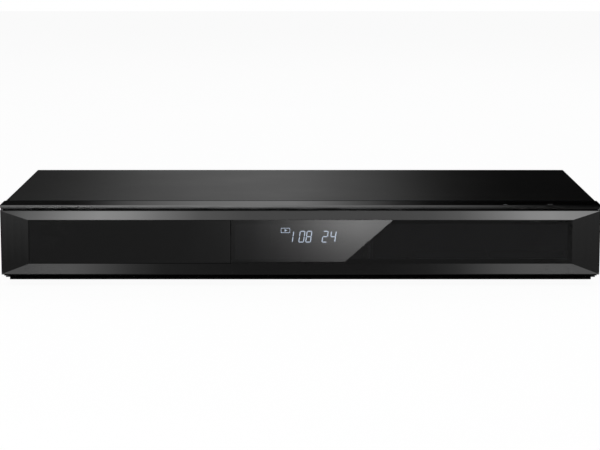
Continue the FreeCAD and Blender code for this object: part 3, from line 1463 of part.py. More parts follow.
PARTS = {
    "bottom_chassis": bottom_chassis,
    "top_cover": top_cover,
    "rear_panel": rear_panel,
    "front_bezel": front_bezel,
    "top_strip": top_strip,
    "rubber_feet": rubber_feet,
    "casing_screws": casing_screws,
    "inner_screws": inner_screws,
    "door_frame": door_frame,
    "door_window": door_window,
    "door_hinge_pins": door_hinge_pins,
    "magnet_plates": magnet_plates,
    "door_magnets": door_magnets,
    "power_button": lambda: push_button(power_button_x),
    "open_close_button": lambda: push_button(open_button_x),
    "button_board": button_board,
    "tact_switches": tact_switches,
    "front_board": front_board,
    "display_module": display_module,
    "ir_receiver": ir_receiver,
    "front_data_socket": front_data_socket,
    "card_slot": card_slot,
    "module_cage": module_cage,
    "loader_frame": loader_frame,
    "disc_tray": disc_tray,
    "tray_lid": tray_lid,
    "clamp_bridge": clamp_bridge,
    "clamp_puck": clamp_puck,
    "traverse_frame": traverse_frame,
    "spindle_motor": spindle_motor,
    "turntable": turntable,
    "guide_rods": guide_rods,
    "pickup_sled": pickup_sled,
    "pickup_lens": pickup_lens,
    "lead_screw": lead_screw,
    "sled_motor": sled_motor,
    "cam_slider": cam_slider,
    "loading_motor": loading_motor,
    "motor_pulley": motor_pulley,
    "drive_belt": drive_belt,
    "pulley_gear": pulley_gear,
    "tray_gear": tray_gear,
    "hard_disk": hard_disk,
    "hard_disk_bracket": hard_disk_bracket,
    "main_board": main_board,
    "board_chips": board_chips,
    "heat_sink": heat_sink,
    "tuner_can": tuner_can,
    "flat_cables": flat_cables,
    "aerial_sockets": aerial_sockets,
    "video_socket": video_socket,
    "network_socket": network_socket,
    "audio_video_jacks": audio_video_jacks,
    "power_board": power_board,
    "transformer": transformer,
    "capacitors": capacitors,
    "ac_inlet": ac_inlet,
    "fan_housing": fan_housing,
    "fan_rotor": fan_rotor,
}

os.makedirs("parts", exist_ok=True)
for part_name, make in PARTS.items():
    made = make()
    save(part_name, made if isinstance(made, list) else [made])
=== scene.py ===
# %% [markdown]
# # A slim disc recorder, dressed for its picture
#
# The real object is a black set-top recorder: a painted steel cover, a gloss strip along the
# front of the top, and a full-width gloss flap with a smoked window. The solids come from the
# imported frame. This lesson gives every solid its real finish, models the small things that the
# solids leave out, and builds the plain studio that a gloss black object needs, because most of
# what the eye sees on it is reflection.

# %% Load the frame
import math

import bpy
from mathutils import Matrix, Vector


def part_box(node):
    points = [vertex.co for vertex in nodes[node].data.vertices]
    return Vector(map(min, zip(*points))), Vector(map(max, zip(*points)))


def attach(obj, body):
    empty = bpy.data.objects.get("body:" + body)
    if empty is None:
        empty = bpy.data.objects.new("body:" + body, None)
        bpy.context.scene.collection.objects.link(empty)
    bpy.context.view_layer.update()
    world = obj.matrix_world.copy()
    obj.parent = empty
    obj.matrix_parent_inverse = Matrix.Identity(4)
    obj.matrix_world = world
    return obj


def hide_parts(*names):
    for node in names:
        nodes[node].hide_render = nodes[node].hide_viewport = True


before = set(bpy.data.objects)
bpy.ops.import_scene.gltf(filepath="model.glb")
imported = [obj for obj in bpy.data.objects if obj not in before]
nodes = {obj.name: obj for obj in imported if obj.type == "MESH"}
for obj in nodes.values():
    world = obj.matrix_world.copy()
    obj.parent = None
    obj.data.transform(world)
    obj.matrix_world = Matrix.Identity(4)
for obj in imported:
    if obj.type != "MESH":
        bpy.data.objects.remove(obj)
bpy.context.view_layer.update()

bpy.ops.object.select_all(action="DESELECT")

# %% [markdown]
# ## The camera
#
# The photograph was taken from about one and a half metres in front, slightly above, with a long
# lens. A long lens keeps the flap's upright edges upright, which is why the front looks like a
# plain rectangle. The image is 600 by 450, so a focal length in pixels turns into millimetres
# through the sensor's width.

# %% Camera
IMAGE_WIDTH = 600
SENSOR_WIDTH = 36.0
FOCAL_PIXELS = 1886.6
CAMERA_PLACE = Vector((-0.0003, -1.4325, 0.2610))
CAMERA_PITCH = math.radians(9.22)

bpy.ops.object.camera_add(location=CAMERA_PLACE, rotation=(math.pi / 2 - CAMERA_PITCH, 0, 0))
camera = bpy.context.object
camera.name = "camera"
camera.data.sensor_width = SENSOR_WIDTH
camera.data.lens = FOCAL_PIXELS * SENSOR_WIDTH / IMAGE_WIDTH
bpy.context.scene.camera = camera
print("lens", round(camera.data.lens, 1), "mm")

# %% [markdown]
# ## Helpers for colour and nodes
#
# Colours are written as sRGB hex values, the way a paint chip is read from a screen. Cycles works
# in linear light, so one function turns them over. One small function adds a node, sets its
# values and joins its inputs, so that a material reads from top to bottom like a recipe.

# %% Colour and node helpers
def linear(hex_colour):
    """Linear RGBA from an sRGB hex colour."""
    values = [int(hex_colour[i:i + 2], 16) / 255 for i in (1, 3, 5)]
    return [v / 12.92 if v <= 0.04045 else ((v + 0.055) / 1.055) ** 2.4 for v in values] + [1.0]


def feed(tree, node, values=None, links=None):
    """Sets some of a node's sockets to values and joins others to the sockets that feed them."""
    for name, value in (values or {}).items():
        node.inputs[name].default_value = value
    for name, source in (links or {}).items():
        tree.links.new(source, node.inputs[name])
    return node


def add(tree, kind, settings=None, values=None, links=None):
    """Adds a node: settings are its own fields, values and links are for its sockets."""
    node = tree.nodes.new("ShaderNode" + kind)
    for name, value in (settings or {}).items():
        setattr(node, name, value)
    return feed(tree, node, values, links)


print("node helpers ready")


# %% Material helpers
def show(tree, surface):
    """Makes this the surface of the material."""
    output = next(n for n in tree.nodes if n.type == "OUTPUT_MATERIAL")
    feed(tree, output, links={"Surface": surface})


def new_material(name):
    """An empty node material with its Principled shader and its object coordinates in metres."""
    material = bpy.data.materials.new(name)
    material.use_nodes = True
    tree = material.node_tree
    tree.nodes.clear()
    shader = add(tree, "BsdfPrincipled")
    add(tree, "OutputMaterial", links={"Surface": shader.outputs["BSDF"]})
    place = add(tree, "TexCoord").outputs["Object"]
    return material, tree, shader, place


print("material helpers ready")


# %% Pattern helpers
def noise(tree, place, size_mm, detail=2.0, stretch=(1, 1, 1)):
    """Noise whose grains are about size_mm across."""
    mapped = add(tree, "Mapping", values={"Scale": stretch}, links={"Vector": place})
    return add(tree, "TexNoise", values={"Scale": 1000.0 / size_mm, "Detail": detail},
               links={"Vector": mapped.outputs["Vector"]}).outputs["Fac"]


def between(tree, factor, low, high, start=0.3, end=0.7):
    """Maps a pattern from its usual range, 0.3 to 0.7 for noise, onto low to high."""
    return add(tree, "MapRange", values={"From Min": start, "From Max": end, "To Min": low,
                                         "To Max": high}, links={"Value": factor}).outputs["Result"]


def blend_colours(tree, factor, first, second):
    """A colour between two hex colours."""
    mix = add(tree, "Mix", {"data_type": "RGBA"}, links={"Factor": factor})
    mix.inputs[6].default_value = linear(first)
    mix.inputs[7].default_value = linear(second)
    return mix.outputs[2]


def bump(tree, shader, height, distance_mm, strength=1.0):
    """Feeds a height pattern to the shader's normal."""
    node = add(tree, "Bump", values={"Strength": strength, "Distance": distance_mm / 1000},
               links={"Height": height})
    feed(tree, shader, links={"Normal": node.outputs["Normal"]})


print("pattern helpers ready")

# %% [markdown]
# ## Gloss black moulding
#
# The strip, the flap, the tray's lid and the buttons are ABS, moulded in a polished tool. The
# base is nearly black, and a polished tool leaves a surface that mirrors like still water:
# roughness close to zero. What keeps it from looking like glass is a faint haze of wiping marks,
# a centimetre or two across, that softens the mirror here and there.


# %% Gloss black
def polished_plastic(name, dark, pale, low, high, values):
    """A mirror finish: haze varies the roughness, a slower pattern the colour."""
    material, tree, shader, place = new_material(name)
    haze = noise(tree, place, 14.0, detail=4.0)
    feed(tree, shader, values, {
        "Roughness": between(tree, haze, low, high),
        "Base Color": blend_colours(tree, noise(tree, place, 40.0), dark, pale)})
    return material


gloss_black = polished_plastic("gloss_black_abs", "#030303", "#050505", 0.015, 0.05, {"IOR": 1.53})
print(gloss_black.name)

# %% [markdown]
# ## Smoked window
#
# The right part of the flap is a 2 mm acrylic sheet, dyed so dark that only the lit display shows
# through it. It is one clear body with colour in it, so the shader is glass with a dark tint
# rather than a dark paint. Its outer face is as glossy as the moulding beside it, so the two look
# like one panel when the light is on them.

# %% Smoked acrylic
smoked_acrylic = polished_plastic("smoked_acrylic", "#49494c", "#4d4d50", 0.0, 0.02,
                                  {"Transmission Weight": 1.0, "IOR": 1.49})
print(smoked_acrylic.name)

# %% [markdown]
# ## Painted steel cover
#
# The cover is folded from steel sheet and stoved with a satin black paint. The paint dries into a
# fine texture, about half a millimetre from crest to crest, which spreads the reflection of the
# studio into a soft glow. In the photograph that glow runs right across the top, so the roughness
# matters more here than the colour.


# %% Satin paint
def satin_paint_material():
    material, tree, shader, place = new_material("stoved_satin_paint")
    grain = noise(tree, place, 0.6, detail=3.0)
    cloud = noise(tree, place, 60.0, detail=3.0)
    feed(tree, shader, {"IOR": 1.5}, {
        "Roughness": between(tree, cloud, 0.28, 0.31),
        "Base Color": blend_colours(tree, grain, "#020202", "#050505")})
    bump(tree, shader, grain, 0.012, 0.5)
    return material


satin_paint = satin_paint_material()
print(satin_paint.name)

# %% [markdown]
# ## Moulded satin and matt plastics
#
# The front frame, the disc drive's tub, the tray, the fan and the rear socket housings are
# moulded in spark-eroded tools. That leaves a fine, even grain of pits, about 0.4 mm apart, which
# scatters the light. One recipe serves them all, with a colour and a roughness for each.


# %% Moulded plastics
def moulded_plastic(name, dark, pale, low, high, grain_mm=0.4, depth_mm=0.01):
    material, tree, shader, place = new_material(name)
    grain = noise(tree, place, grain_mm)
    cloud = noise(tree, place, 18.0, detail=3.0)
    feed(tree, shader, {"IOR": 1.5}, {"Roughness": between(tree, cloud, low, high),
                                      "Base Color": blend_colours(tree, cloud, dark, pale)})
    bump(tree, shader, grain, depth_mm, 0.6)
    return material


black_abs = moulded_plastic("spark_eroded_black_abs", "#19191a", "#212123", 0.42, 0.52)
grey_polystyrene = moulded_plastic("grey_polystyrene_tray", "#3c3d40", "#46474a", 0.34, 0.42)
natural_acetal = moulded_plastic("natural_acetal", "#d8d4c6", "#e4e0d3", 0.36, 0.46)
black_rubber = moulded_plastic("black_nitrile_rubber", "#101010", "#191919", 0.72, 0.85, 0.3, 0.02)
black_epoxy = moulded_plastic("moulded_black_epoxy", "#141416", "#1d1d20", 0.5, 0.62, 0.25, 0.008)
yellow_plastic = moulded_plastic("yellow_socket_plastic", "#d9a81c", "#e6b62a", 0.3, 0.38)
white_plastic = moulded_plastic("white_socket_plastic", "#d4d3cf", "#e2e1dd", 0.3, 0.38)
red_plastic = moulded_plastic("red_socket_plastic", "#9d1c1c", "#ad2626", 0.3, 0.38)
orange_plastic = moulded_plastic("orange_socket_plastic", "#c45e16", "#d06c22", 0.3, 0.38)
print("plastics ready")

# %% [markdown]
# The front frame is one moulding with two finishes. Its foot and its top rail stay in view below
# and above the flap, so there the tool is polished like the flap's own. The wall behind the flap
# is spark-eroded, because a texture hides finger marks. Height alone tells the two apart.


# %% Front frame
FOOT_TOP = 0.0080     # up to here the foot below the flap is polished
RAIL_BOTTOM = 0.0555  # and from here on the rail above it


def front_frame_material():
    material, tree, shader, place = new_material("front_frame_abs")
    height = add(tree, "SeparateXYZ", links={"Vector": place}).outputs["Z"]
    above = add(tree, "Math", {"operation": "GREATER_THAN"}, {1: FOOT_TOP}, {0: height}).outputs[0]
    below = add(tree, "Math", {"operation": "LESS_THAN"}, {1: RAIL_BOTTOM}, {0: height}).outputs[0]
    eroded = add(tree, "Math", {"operation": "MULTIPLY"}, links={0: above, 1: below}).outputs[0]
    cloud = noise(tree, place, 18.0, detail=3.0)
    polish = between(tree, cloud, 0.025, 0.05)
    rough = add(tree, "Mix", {"data_type": "FLOAT"}, {"B": 0.45}, {"Factor": eroded, "A": polish})
    feed(tree, shader, {"IOR": 1.5}, {
        "Roughness": rough.outputs["Result"],
        "Base Color": blend_colours(tree, eroded, "#050505", "#1f1f21")})
    grain = noise(tree, place, 0.4)
    pits = add(tree, "Math", {"operation": "MULTIPLY"}, links={0: grain, 1: eroded}).outputs[0]
    bump(tree, shader, pits, 0.01, 0.6)
    return material


front_frame = front_frame_material()
print(front_frame.name)

# %% [markdown]
# ## Metals
#
# Sheet steel is rolled before it is folded, so zinc-plated parts carry a faint grain along the
# roll, a few tenths of a millimetre wide and centimetres long, and the zinc itself has a soft
# cloudiness. Turned parts, such as shafts and barrels, are finer and brighter. A metal keeps the
# shader's default IOR: its colour does the work.


# %% Metals
def worked_metal(name, dark, pale, low, high, stretch=(1, 1, 1), grain_mm=0.5, depth_mm=0.004):
    material, tree, shader, place = new_material(name)
    grain = noise(tree, place, grain_mm, detail=3.0, stretch=stretch)
    cloud = noise(tree, place, 12.0, detail=4.0)
    feed(tree, shader, {"Metallic": 1.0}, {"Roughness": between(tree, cloud, low, high),
                                           "Base Color": blend_colours(tree, grain, dark, pale)})
    bump(tree, shader, grain, depth_mm, 0.5)
    return material


ROLLED = (0.02, 1, 1)  # grain drawn out fifty times along X
GROUND = (1, 0.05, 1)  # and these less or more, along Y
TURNED = (1, 0.1, 1)
DRAWN = (1, 0.03, 1)
EVEN = (1, 1, 1)
zinc_plate = worked_metal("zinc_plated_steel", "#a3a6a8", "#b4b7b9", 0.32, 0.44, ROLLED)
bright_steel = worked_metal("ground_steel", "#c2c3c6", "#cfd0d2", 0.16, 0.26, GROUND, 0.3, 0.002)
nickel = worked_metal("nickel_plated_brass", "#bdb7aa", "#cbc6ba", 0.14, 0.24, TURNED, 0.3, 0.002)
brass = worked_metal("turned_brass", "#b8923f", "#c9a24c", 0.2, 0.3, EVEN, 0.3, 0.003)
gold = worked_metal("gold_plated_contact", "#d8ab4c", "#e2b85c", 0.14, 0.22, EVEN, 0.3, 0.002)
cast_aluminium = worked_metal("cast_aluminium", "#a9acae", "#b9bcbe", 0.38, 0.52, EVEN, 0.7, 0.02)
extruded_aluminium = worked_metal("extruded_aluminium", "#b4b7ba", "#c4c7c9", 0.26, 0.36, DRAWN)
print("metals ready")

# %% [markdown]
# ## Circuit boards
#
# A board is glass-fibre laminate under green lacquer. The copper beneath shows as slightly paler
# tracks, which run in straight lines on a grid, so the pattern is made from a brick texture: thin
# lines in both directions, broken at intervals. The lacquer itself is smooth and lies a little
# higher over a track.

# %% Circuit board
TRACK_WIDTH = 0.00018
TRACK_PITCH = 0.0013
TRACK_LENGTH = 0.0094


def circuit_board_material():
    material, tree, shader, place = new_material("lacquered_glass_fibre")
    tracks = []
    for turn in (0.0, math.pi / 2):
        turned = add(tree, "Mapping", values={"Rotation": (0, 0, turn)}, links={"Vector": place})
        brick = add(tree, "TexBrick", None,
                    {"Scale": 1.0, "Mortar Size": TRACK_WIDTH, "Mortar Smooth": 0.1,
                     "Brick Width": TRACK_LENGTH, "Row Height": TRACK_PITCH},
                    {"Vector": turned.outputs["Vector"]})
        tracks.append(brick.outputs["Fac"])
    both = add(tree, "Math", {"operation": "MAXIMUM"}, links=dict(enumerate(tracks))).outputs[0]
    region = between(tree, noise(tree, place, 16.0), 0.0, 1.0, 0.46, 0.5)
    shown = add(tree, "Math", {"operation": "MULTIPLY"}, links={0: both, 1: region}).outputs[0]
    feed(tree, shader, links={"Base Color": blend_colours(tree, shown, "#0d3b22", "#2b6b3f"),
                              "Roughness": between(tree, noise(tree, place, 9.0), 0.22, 0.32)})
    bump(tree, shader, shown, 0.03, 0.6)
    return material


circuit_board = circuit_board_material()
print(circuit_board.name)

# %% [markdown]
# ## Ribbon cable, capacitor sleeve, lens and display glass
#
# The flat cables are white film over tinned strips, 1 mm apart, that show as fine grey lines.
# Capacitor cans wear a shrunk plastic sleeve, dark blue with a soft gloss. The pickup's lens is
# clear with a violet-blue cast from its coating. The display is a glass panel with a fine mesh,
# half a millimetre apart, in front of unlit phosphor.

# %% Small finishes
RIBBON_PITCH_MM = 1.0
MESH_PITCH = 0.0005
MESH_WIRE = 0.00006


def ribbon_material():
    material, tree, shader, place = new_material("flat_ribbon_cable")
    scale = 1000.0 / 20.0 / RIBBON_PITCH_MM  # this texture draws twenty bands to the unit
    wave = add(tree, "TexWave", {"bands_direction": "X"}, {"Scale": scale}, {"Vector": place})
    feed(tree, shader, links={
        "Base Color": blend_colours(tree, wave.outputs["Fac"], "#c9c9c4", "#e4e3de"),
        "Roughness": between(tree, noise(tree, place, 6.0), 0.35, 0.5)})
    return material


def plain_finish(name, dark, pale, low, high, size_mm, values=None):
    """One pattern varies the colour and the roughness together."""
    material, tree, shader, place = new_material(name)
    cloud = noise(tree, place, size_mm)
    feed(tree, shader, values, {"Base Color": blend_colours(tree, cloud, dark, pale),
                                "Roughness": between(tree, cloud, low, high)})
    return material


def display_glass_material():
    material, tree, shader, place = new_material("display_glass")
    turned = add(tree, "Mapping", values={"Rotation": (math.pi / 2, 0, 0)}, links={"Vector": place})
    mesh = add(tree, "TexBrick", None,
               {"Scale": 1.0, "Mortar Size": MESH_WIRE,
                "Brick Width": MESH_PITCH, "Row Height": MESH_PITCH},
               {"Vector": turned.outputs["Vector"]})
    feed(tree, shader, {"IOR": 1.52}, {
        "Base Color": blend_colours(tree, mesh.outputs["Fac"], "#10161a", "#1c2429"),
        "Roughness": between(tree, noise(tree, place, 8.0), 0.04, 0.09)})
    return material


ribbon = ribbon_material()
capacitor_sleeve = plain_finish("capacitor_sleeve", "#10172c", "#172038", 0.25, 0.36, 5.0)
coated_lens = plain_finish("coated_lens_glass", "#9fb4e6", "#b5a6e8", 0.0, 0.03, 4.0,
                           {"Transmission Weight": 1.0, "IOR": 1.5})
display_glass = display_glass_material()
print("small finishes ready")

# %% [markdown]
# ## Dress the solids
#
# Each solid from the frame keeps its shape and gets the finish of the real piece. The dictionary
# reads like a parts list: one finish, and the solids that wear it.

# %% Finishes of the solids
FINISHES = {
    satin_paint: ["top_cover"],
    gloss_black: ["top_strip", "door_frame", "tray_lid", "power_button", "open_close_button"],
    smoked_acrylic: ["door_window"],
    front_frame: ["front_bezel"],
    black_abs: ["loader_frame", "fan_housing", "fan_rotor", "network_socket",
                "ac_inlet", "ir_receiver", "tact_switches"],
    grey_polystyrene: ["disc_tray"],
    natural_acetal: ["tray_gear", "pulley_gear", "cam_slider", "turntable", "clamp_puck"],
    black_rubber: ["rubber_feet", "drive_belt"],
    black_epoxy: ["board_chips", "transformer"],
    zinc_plate: ["bottom_chassis", "rear_panel", "clamp_bridge", "hard_disk_bracket",
                 "traverse_frame", "magnet_plates", "tuner_can", "module_cage", "card_slot"],
    bright_steel: ["door_hinge_pins", "guide_rods", "lead_screw", "casing_screws", "inner_screws",
                   "spindle_motor", "sled_motor", "loading_motor", "door_magnets"],
    nickel: ["video_socket", "front_data_socket", "aerial_sockets", "audio_video_jacks"],
    brass: ["motor_pulley"],
    cast_aluminium: ["hard_disk", "pickup_sled"],
    extruded_aluminium: ["heat_sink"],
    circuit_board: ["main_board", "power_board", "front_board", "button_board"],
    capacitor_sleeve: ["capacitors"],
    coated_lens: ["pickup_lens"],
    display_glass: ["display_module"],
    ribbon: ["flat_cables"],
}

dressed = set()
for finish, names in FINISHES.items():
    for name in names:
        node = nodes[name]
        if not node.material_slots:
            node.data.materials.append(finish)
        for slot in node.material_slots:
            slot.material = finish
        dressed.add(name)
print("dressed", len(dressed), "of", len(nodes), sorted(set(nodes) - dressed))

# %% [markdown]
# ## Modelling helpers
#
# New pieces are modelled as by hand: a primitive at its size and place, shaped in edit mode,
# finished with modifiers. The helpers only start and end a piece: they add a primitive, pick
# points or faces by where they are, join and repeat what was made, bake the place into the mesh
# and let the piece ride on its body.


# %% Helpers that start a piece
def select_only(pieces):
    """Selects these pieces and nothing else, with the first one active."""
    bpy.ops.object.select_all(action="DESELECT")
    for piece in pieces:
        piece.select_set(True)
    bpy.context.view_layer.objects.active = pieces[0]


def named(name):
    """The object just added, under its name and with its place baked into its mesh."""
    piece = bpy.context.object
    piece.name = piece.data.name = name
    select_only([piece])
    bpy.ops.object.transform_apply(location=True, rotation=True, scale=True)
    return piece


def start_cube(name, low, high):
    """A new cube that fills the box between two corners, in metres."""
    low, high = Vector(low), Vector(high)
    bpy.ops.mesh.primitive_cube_add(size=1, location=(low + high) / 2, scale=high - low)
    return named(name)


def start_round(name, centre, radius, length, axis="Y", sides=48):
    """A new cylinder round a centre, along Y or Z."""
    turn = {"Y": (math.pi / 2, 0, 0), "Z": (0, 0, 0)}[axis]
    bpy.ops.mesh.primitive_cylinder_add(vertices=sides, radius=radius, depth=length,
                                        location=centre, rotation=turn)
    return named(name)


print("starting helpers ready")


# %% Helpers that shape a piece
def pick(piece, mode, wanted):
    """Enters edit mode with only the wanted vertices or faces selected."""
    select_only([piece])
    bpy.ops.object.mode_set(mode="EDIT")
    bpy.ops.mesh.select_mode(type=mode)
    bpy.ops.mesh.select_all(action="DESELECT")
    bpy.ops.object.mode_set(mode="OBJECT")
    for part in {"VERT": piece.data.vertices, "FACE": piece.data.polygons}[mode]:
        part.select = bool(wanted(part))
    bpy.ops.object.mode_set(mode="EDIT")


def leave_edit():
    bpy.ops.object.mode_set(mode="OBJECT")


def cut_middle(piece, line, wanted):
    """Cuts the wanted faces away, up to a line's width from their edge."""
    pick(piece, "FACE", wanted)
    bpy.ops.mesh.inset(thickness=line)
    bpy.ops.mesh.delete(type="FACE")
    leave_edit()


def bevel_edges(piece, width, segments=2):
    """Rounds the edges sharper than 35 degrees with a Bevel modifier, applied."""
    bpy.context.view_layer.objects.active = piece
    modifier = piece.modifiers.new("edge", "BEVEL")
    modifier.width = width
    modifier.segments = segments
    modifier.limit_method = "ANGLE"
    modifier.angle_limit = math.radians(35)
    bpy.ops.object.modifier_apply(modifier=modifier.name)


print("shaping helpers ready")


# %% Helpers that join, repeat and finish a piece
def joined(name, pieces):
    """One object from several."""
    select_only(pieces)
    bpy.ops.object.join()
    piece = bpy.context.object
    piece.name = piece.data.name = name
    return piece


def copy_of(piece, name, shift):
    """A copy with its own mesh, moved."""
    copy = piece.copy()
    copy.data = piece.data.copy()
    copy.data.transform(Matrix.Translation(Vector(shift)))
    copy.name = copy.data.name = name
    bpy.context.collection.objects.link(copy)
    return copy


def copies(piece, shifts):
    """Moved copies of a piece, which itself is then removed."""
    made = [copy_of(piece, piece.name + "_copy", shift) for shift in shifts]
    bpy.data.objects.remove(piece)
    return made


def finish_piece(piece, finish, smooth=30, body="casing"):
    """Gives the piece its finish, its shading and its body."""
    select_only([piece])
    piece.data.materials.clear()
    piece.data.materials.append(finish)
    if smooth:
        bpy.ops.object.shade_smooth_by_angle(angle=math.radians(smooth))
    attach(piece, body)


print("finishing helpers ready")

# %% [markdown]
# ## The clock in the display
#
# A fluorescent display has slanted seven-segment figures of pale bluish phosphor. Each segment is
# a thin bar with pointed ends. One bar is modelled from a cube whose ends are pushed out to a
# point, then copied to its seven places and left out where the figure doesn't light it. The
# figures stand just in front of the display's glass.

# %% Phosphor
phosphor = plain_finish("blue_white_phosphor", "#a9c7e6", "#c9dff4", 0.5, 0.6, 0.5,
                        {"Emission Color": linear("#d3e2ee"), "Emission Strength": 9.0})
print(phosphor.name)

# %% Figures of the clock
FIGURE_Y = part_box("display_module")[0].y - 0.00006
FIGURE_HEIGHT = 0.0086
FIGURE_WIDTH = 0.0041
FIGURE_BOTTOM = 0.0303
STROKE = 0.0007
PHOSPHOR_THICKNESS = 0.00008
SLANT = math.tan(math.radians(8))
SEGMENTS = {
    "a": ((0, 1), (1, 1)), "b": ((1, 1), (1, 0.5)), "c": ((1, 0.5), (1, 0)), "d": ((0, 0), (1, 0)),
    "e": ((0, 0.5), (0, 0)), "f": ((0, 1), (0, 0.5)), "g": ((0, 0.5), (1, 0.5)),
}
FIGURES = {"0": "abcdef", "1": "bc", "2": "abged", "4": "fgbc", "8": "abcdefg"}
CLOCK = (("1", -0.0093), ("0", -0.0012), ("8", 0.0038), ("2", 0.0156), ("4", 0.0214))


def segment(start, end, left):
    """One pointed bar between two corners of a figure, slanted to the right."""
    span_x, span_z = FIGURE_WIDTH - STROKE, FIGURE_HEIGHT - STROKE
    a = Vector((left + start[0] * span_x, 0, start[1] * span_z))
    b = Vector((left + end[0] * span_x, 0, end[1] * span_z))
    middle, along = (a + b) / 2, (b - a)
    length = along.length - 1.3 * STROKE
    upright = abs(along.z) > abs(along.x)
    size = (STROKE, PHOSPHOR_THICKNESS, length) if upright else (length, PHOSPHOR_THICKNESS, STROKE)
    bar = start_cube("bar", middle - Vector(size) / 2, middle + Vector(size) / 2)
    axis = 2 if upright else 0
    for side in (-1, 1):
        pick(bar, "FACE", lambda f: f.normal[axis] * side > 0.9)
        push = [0, 0, 0]
        push[axis] = side * STROKE / 2
        bpy.ops.mesh.extrude_region_move(TRANSFORM_OT_translate={"value": push})
        flat = [1, 1, 1]
        flat[0 if upright else 2] = 0.05
        bpy.ops.transform.resize(value=flat)
        leave_edit()
    return bar


bars = [segment(*SEGMENTS[name], left) for digit, left in CLOCK for name in FIGURES[digit]]
clock = joined("display_figures", bars)
for vertex in clock.data.vertices:
    vertex.co.x += vertex.co.z * SLANT
    vertex.co.z += FIGURE_BOTTOM
    vertex.co.y += FIGURE_Y
finish_piece(clock, phosphor, smooth=0)
print("clock bars", len(bars), "faces", len(clock.data.polygons))

# %% [markdown]
# ## The small indicator beside the clock
#
# To the left of the figures the display lights a small symbol. Here it is the usual triangle for
# playing, in a thin frame. The frame is a flat box with its front face inset and the middle
# deleted, and the triangle is a three-sided cylinder turned to point right.

# %% Indicator
INDICATOR = Vector((-0.0108, FIGURE_Y, 0.0388))
INDICATOR_HALF = Vector((0.0033, PHOSPHOR_THICKNESS / 2, 0.0018))
ARROW_RADIUS = 0.00125
FRAME_LINE = 0.00035

frame_box = start_cube("indicator_frame", INDICATOR - INDICATOR_HALF, INDICATOR + INDICATOR_HALF)
cut_middle(frame_box, FRAME_LINE, lambda f: abs(f.normal.y) > 0.9)
triangle = start_round("indicator_arrow", INDICATOR, ARROW_RADIUS, PHOSPHOR_THICKNESS, "Y", 3)
pick(triangle, "VERT", lambda v: True)
bpy.ops.transform.rotate(value=math.radians(30), orient_axis="Y", center_override=INDICATOR)
leave_edit()
indicator = joined("display_indicator", [frame_box, triangle])
finish_piece(indicator, phosphor, smooth=0)
print("indicator faces", len(indicator.data.polygons))

# %% [markdown]
# ## Marks printed on the strip
#
# In front of the two push buttons the strip carries very small pad-printed marks: the triangle
# over a bar for the tray, and the broken ring for power. They are dark grey ink on black, just
# readable. Each is two flat shapes, a twentieth of a millimetre thick.

# %% Ink
grey_ink = plain_finish("grey_pad_print", "#3a3a3b", "#464647", 0.45, 0.6, 0.3)
black_ink = plain_finish("black_screen_print", "#161617", "#1f1f20", 0.45, 0.6, 0.3)
print(grey_ink.name, black_ink.name)

# %% Tray and power marks
INK = 0.00005
STRIP_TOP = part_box("top_strip")[1].z
TRAY_MARK = Vector((0.1468, -0.0953, STRIP_TOP))
POWER_MARK = Vector((0.1790, -0.0953, STRIP_TOP))
ARROW_CENTRE = TRAY_MARK + Vector((0, 0.0002, INK / 2))
RING_CENTRE = POWER_MARK + Vector((0, 0, INK / 2))

bar = start_cube("tray_mark_bar", TRAY_MARK + Vector((-0.0016, -0.0016, 0)),
                 TRAY_MARK + Vector((0.0016, -0.0010, INK)))
arrow = start_round("tray_mark_arrow", ARROW_CENTRE, 0.0017, INK, "Z", 3)
pick(arrow, "VERT", lambda v: True)
bpy.ops.transform.resize(value=(1, 0.7, 1), center_override=ARROW_CENTRE)
leave_edit()
tray_mark = joined("tray_mark", [bar, arrow])
finish_piece(tray_mark, grey_ink, smooth=0)

stem = start_cube("power_mark_stem", POWER_MARK - Vector((0.0003, 0, 0)),
                  POWER_MARK + Vector((0.0003, 0.0020, INK)))
circle = start_round("power_mark_ring", RING_CENTRE, 0.0018, INK, "Z", 32)
cut_middle(circle, 0.0005, lambda f: abs(f.normal.z) > 0.9)
pick(circle, "VERT",
     lambda v: v.co.y > POWER_MARK.y + 0.0011 and abs(v.co.x - POWER_MARK.x) < 0.0009)
bpy.ops.mesh.delete(type="VERT")
leave_edit()
power_mark = joined("power_mark", [stem, circle])
finish_piece(power_mark, grey_ink, smooth=0)
print("marks", len(tray_mark.data.polygons), len(power_mark.data.polygons))

# %% [markdown]
# ## Phono jacks
#
# A phono jack is a nickel-plated barrel, 8.3 mm across, over a coloured insulator with a sprung
# contact in its bore. The colour tells the plugs apart: yellow for pictures, white and red for
# sound, orange for the digital lead. One jack is modelled on the Y axis and copied to its four
# places, each in its own colour. Each of its parts is a cylinder whose end is inset and pushed
# in, with its rim rounded.

# %% Parts of one jack
PANEL_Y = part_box("rear_panel")[1].y
REAR_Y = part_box("audio_video_jacks")[1].y
BARREL_RADIUS = 0.00415
COLLAR_RADIUS = 0.00565
CORE_RADIUS = 0.0033
CONTACT_RADIUS = 0.0017


def hollow(name, radius, wall, start, end, depth, sides=48, edge=0.0002):
    """A cylinder from start to end along Y whose rear end is inset by a wall and pushed in."""
    piece = start_round(name, (0, (start + end) / 2, 0), radius, end - start, "Y", sides)
    pick(piece, "FACE", lambda f: f.normal.y > 0.9)
    bpy.ops.mesh.inset(thickness=wall)
    bpy.ops.mesh.extrude_region_move(TRANSFORM_OT_translate={"value": (0, -depth, 0)})
    leave_edit()
    bevel_edges(piece, edge)
    return piece


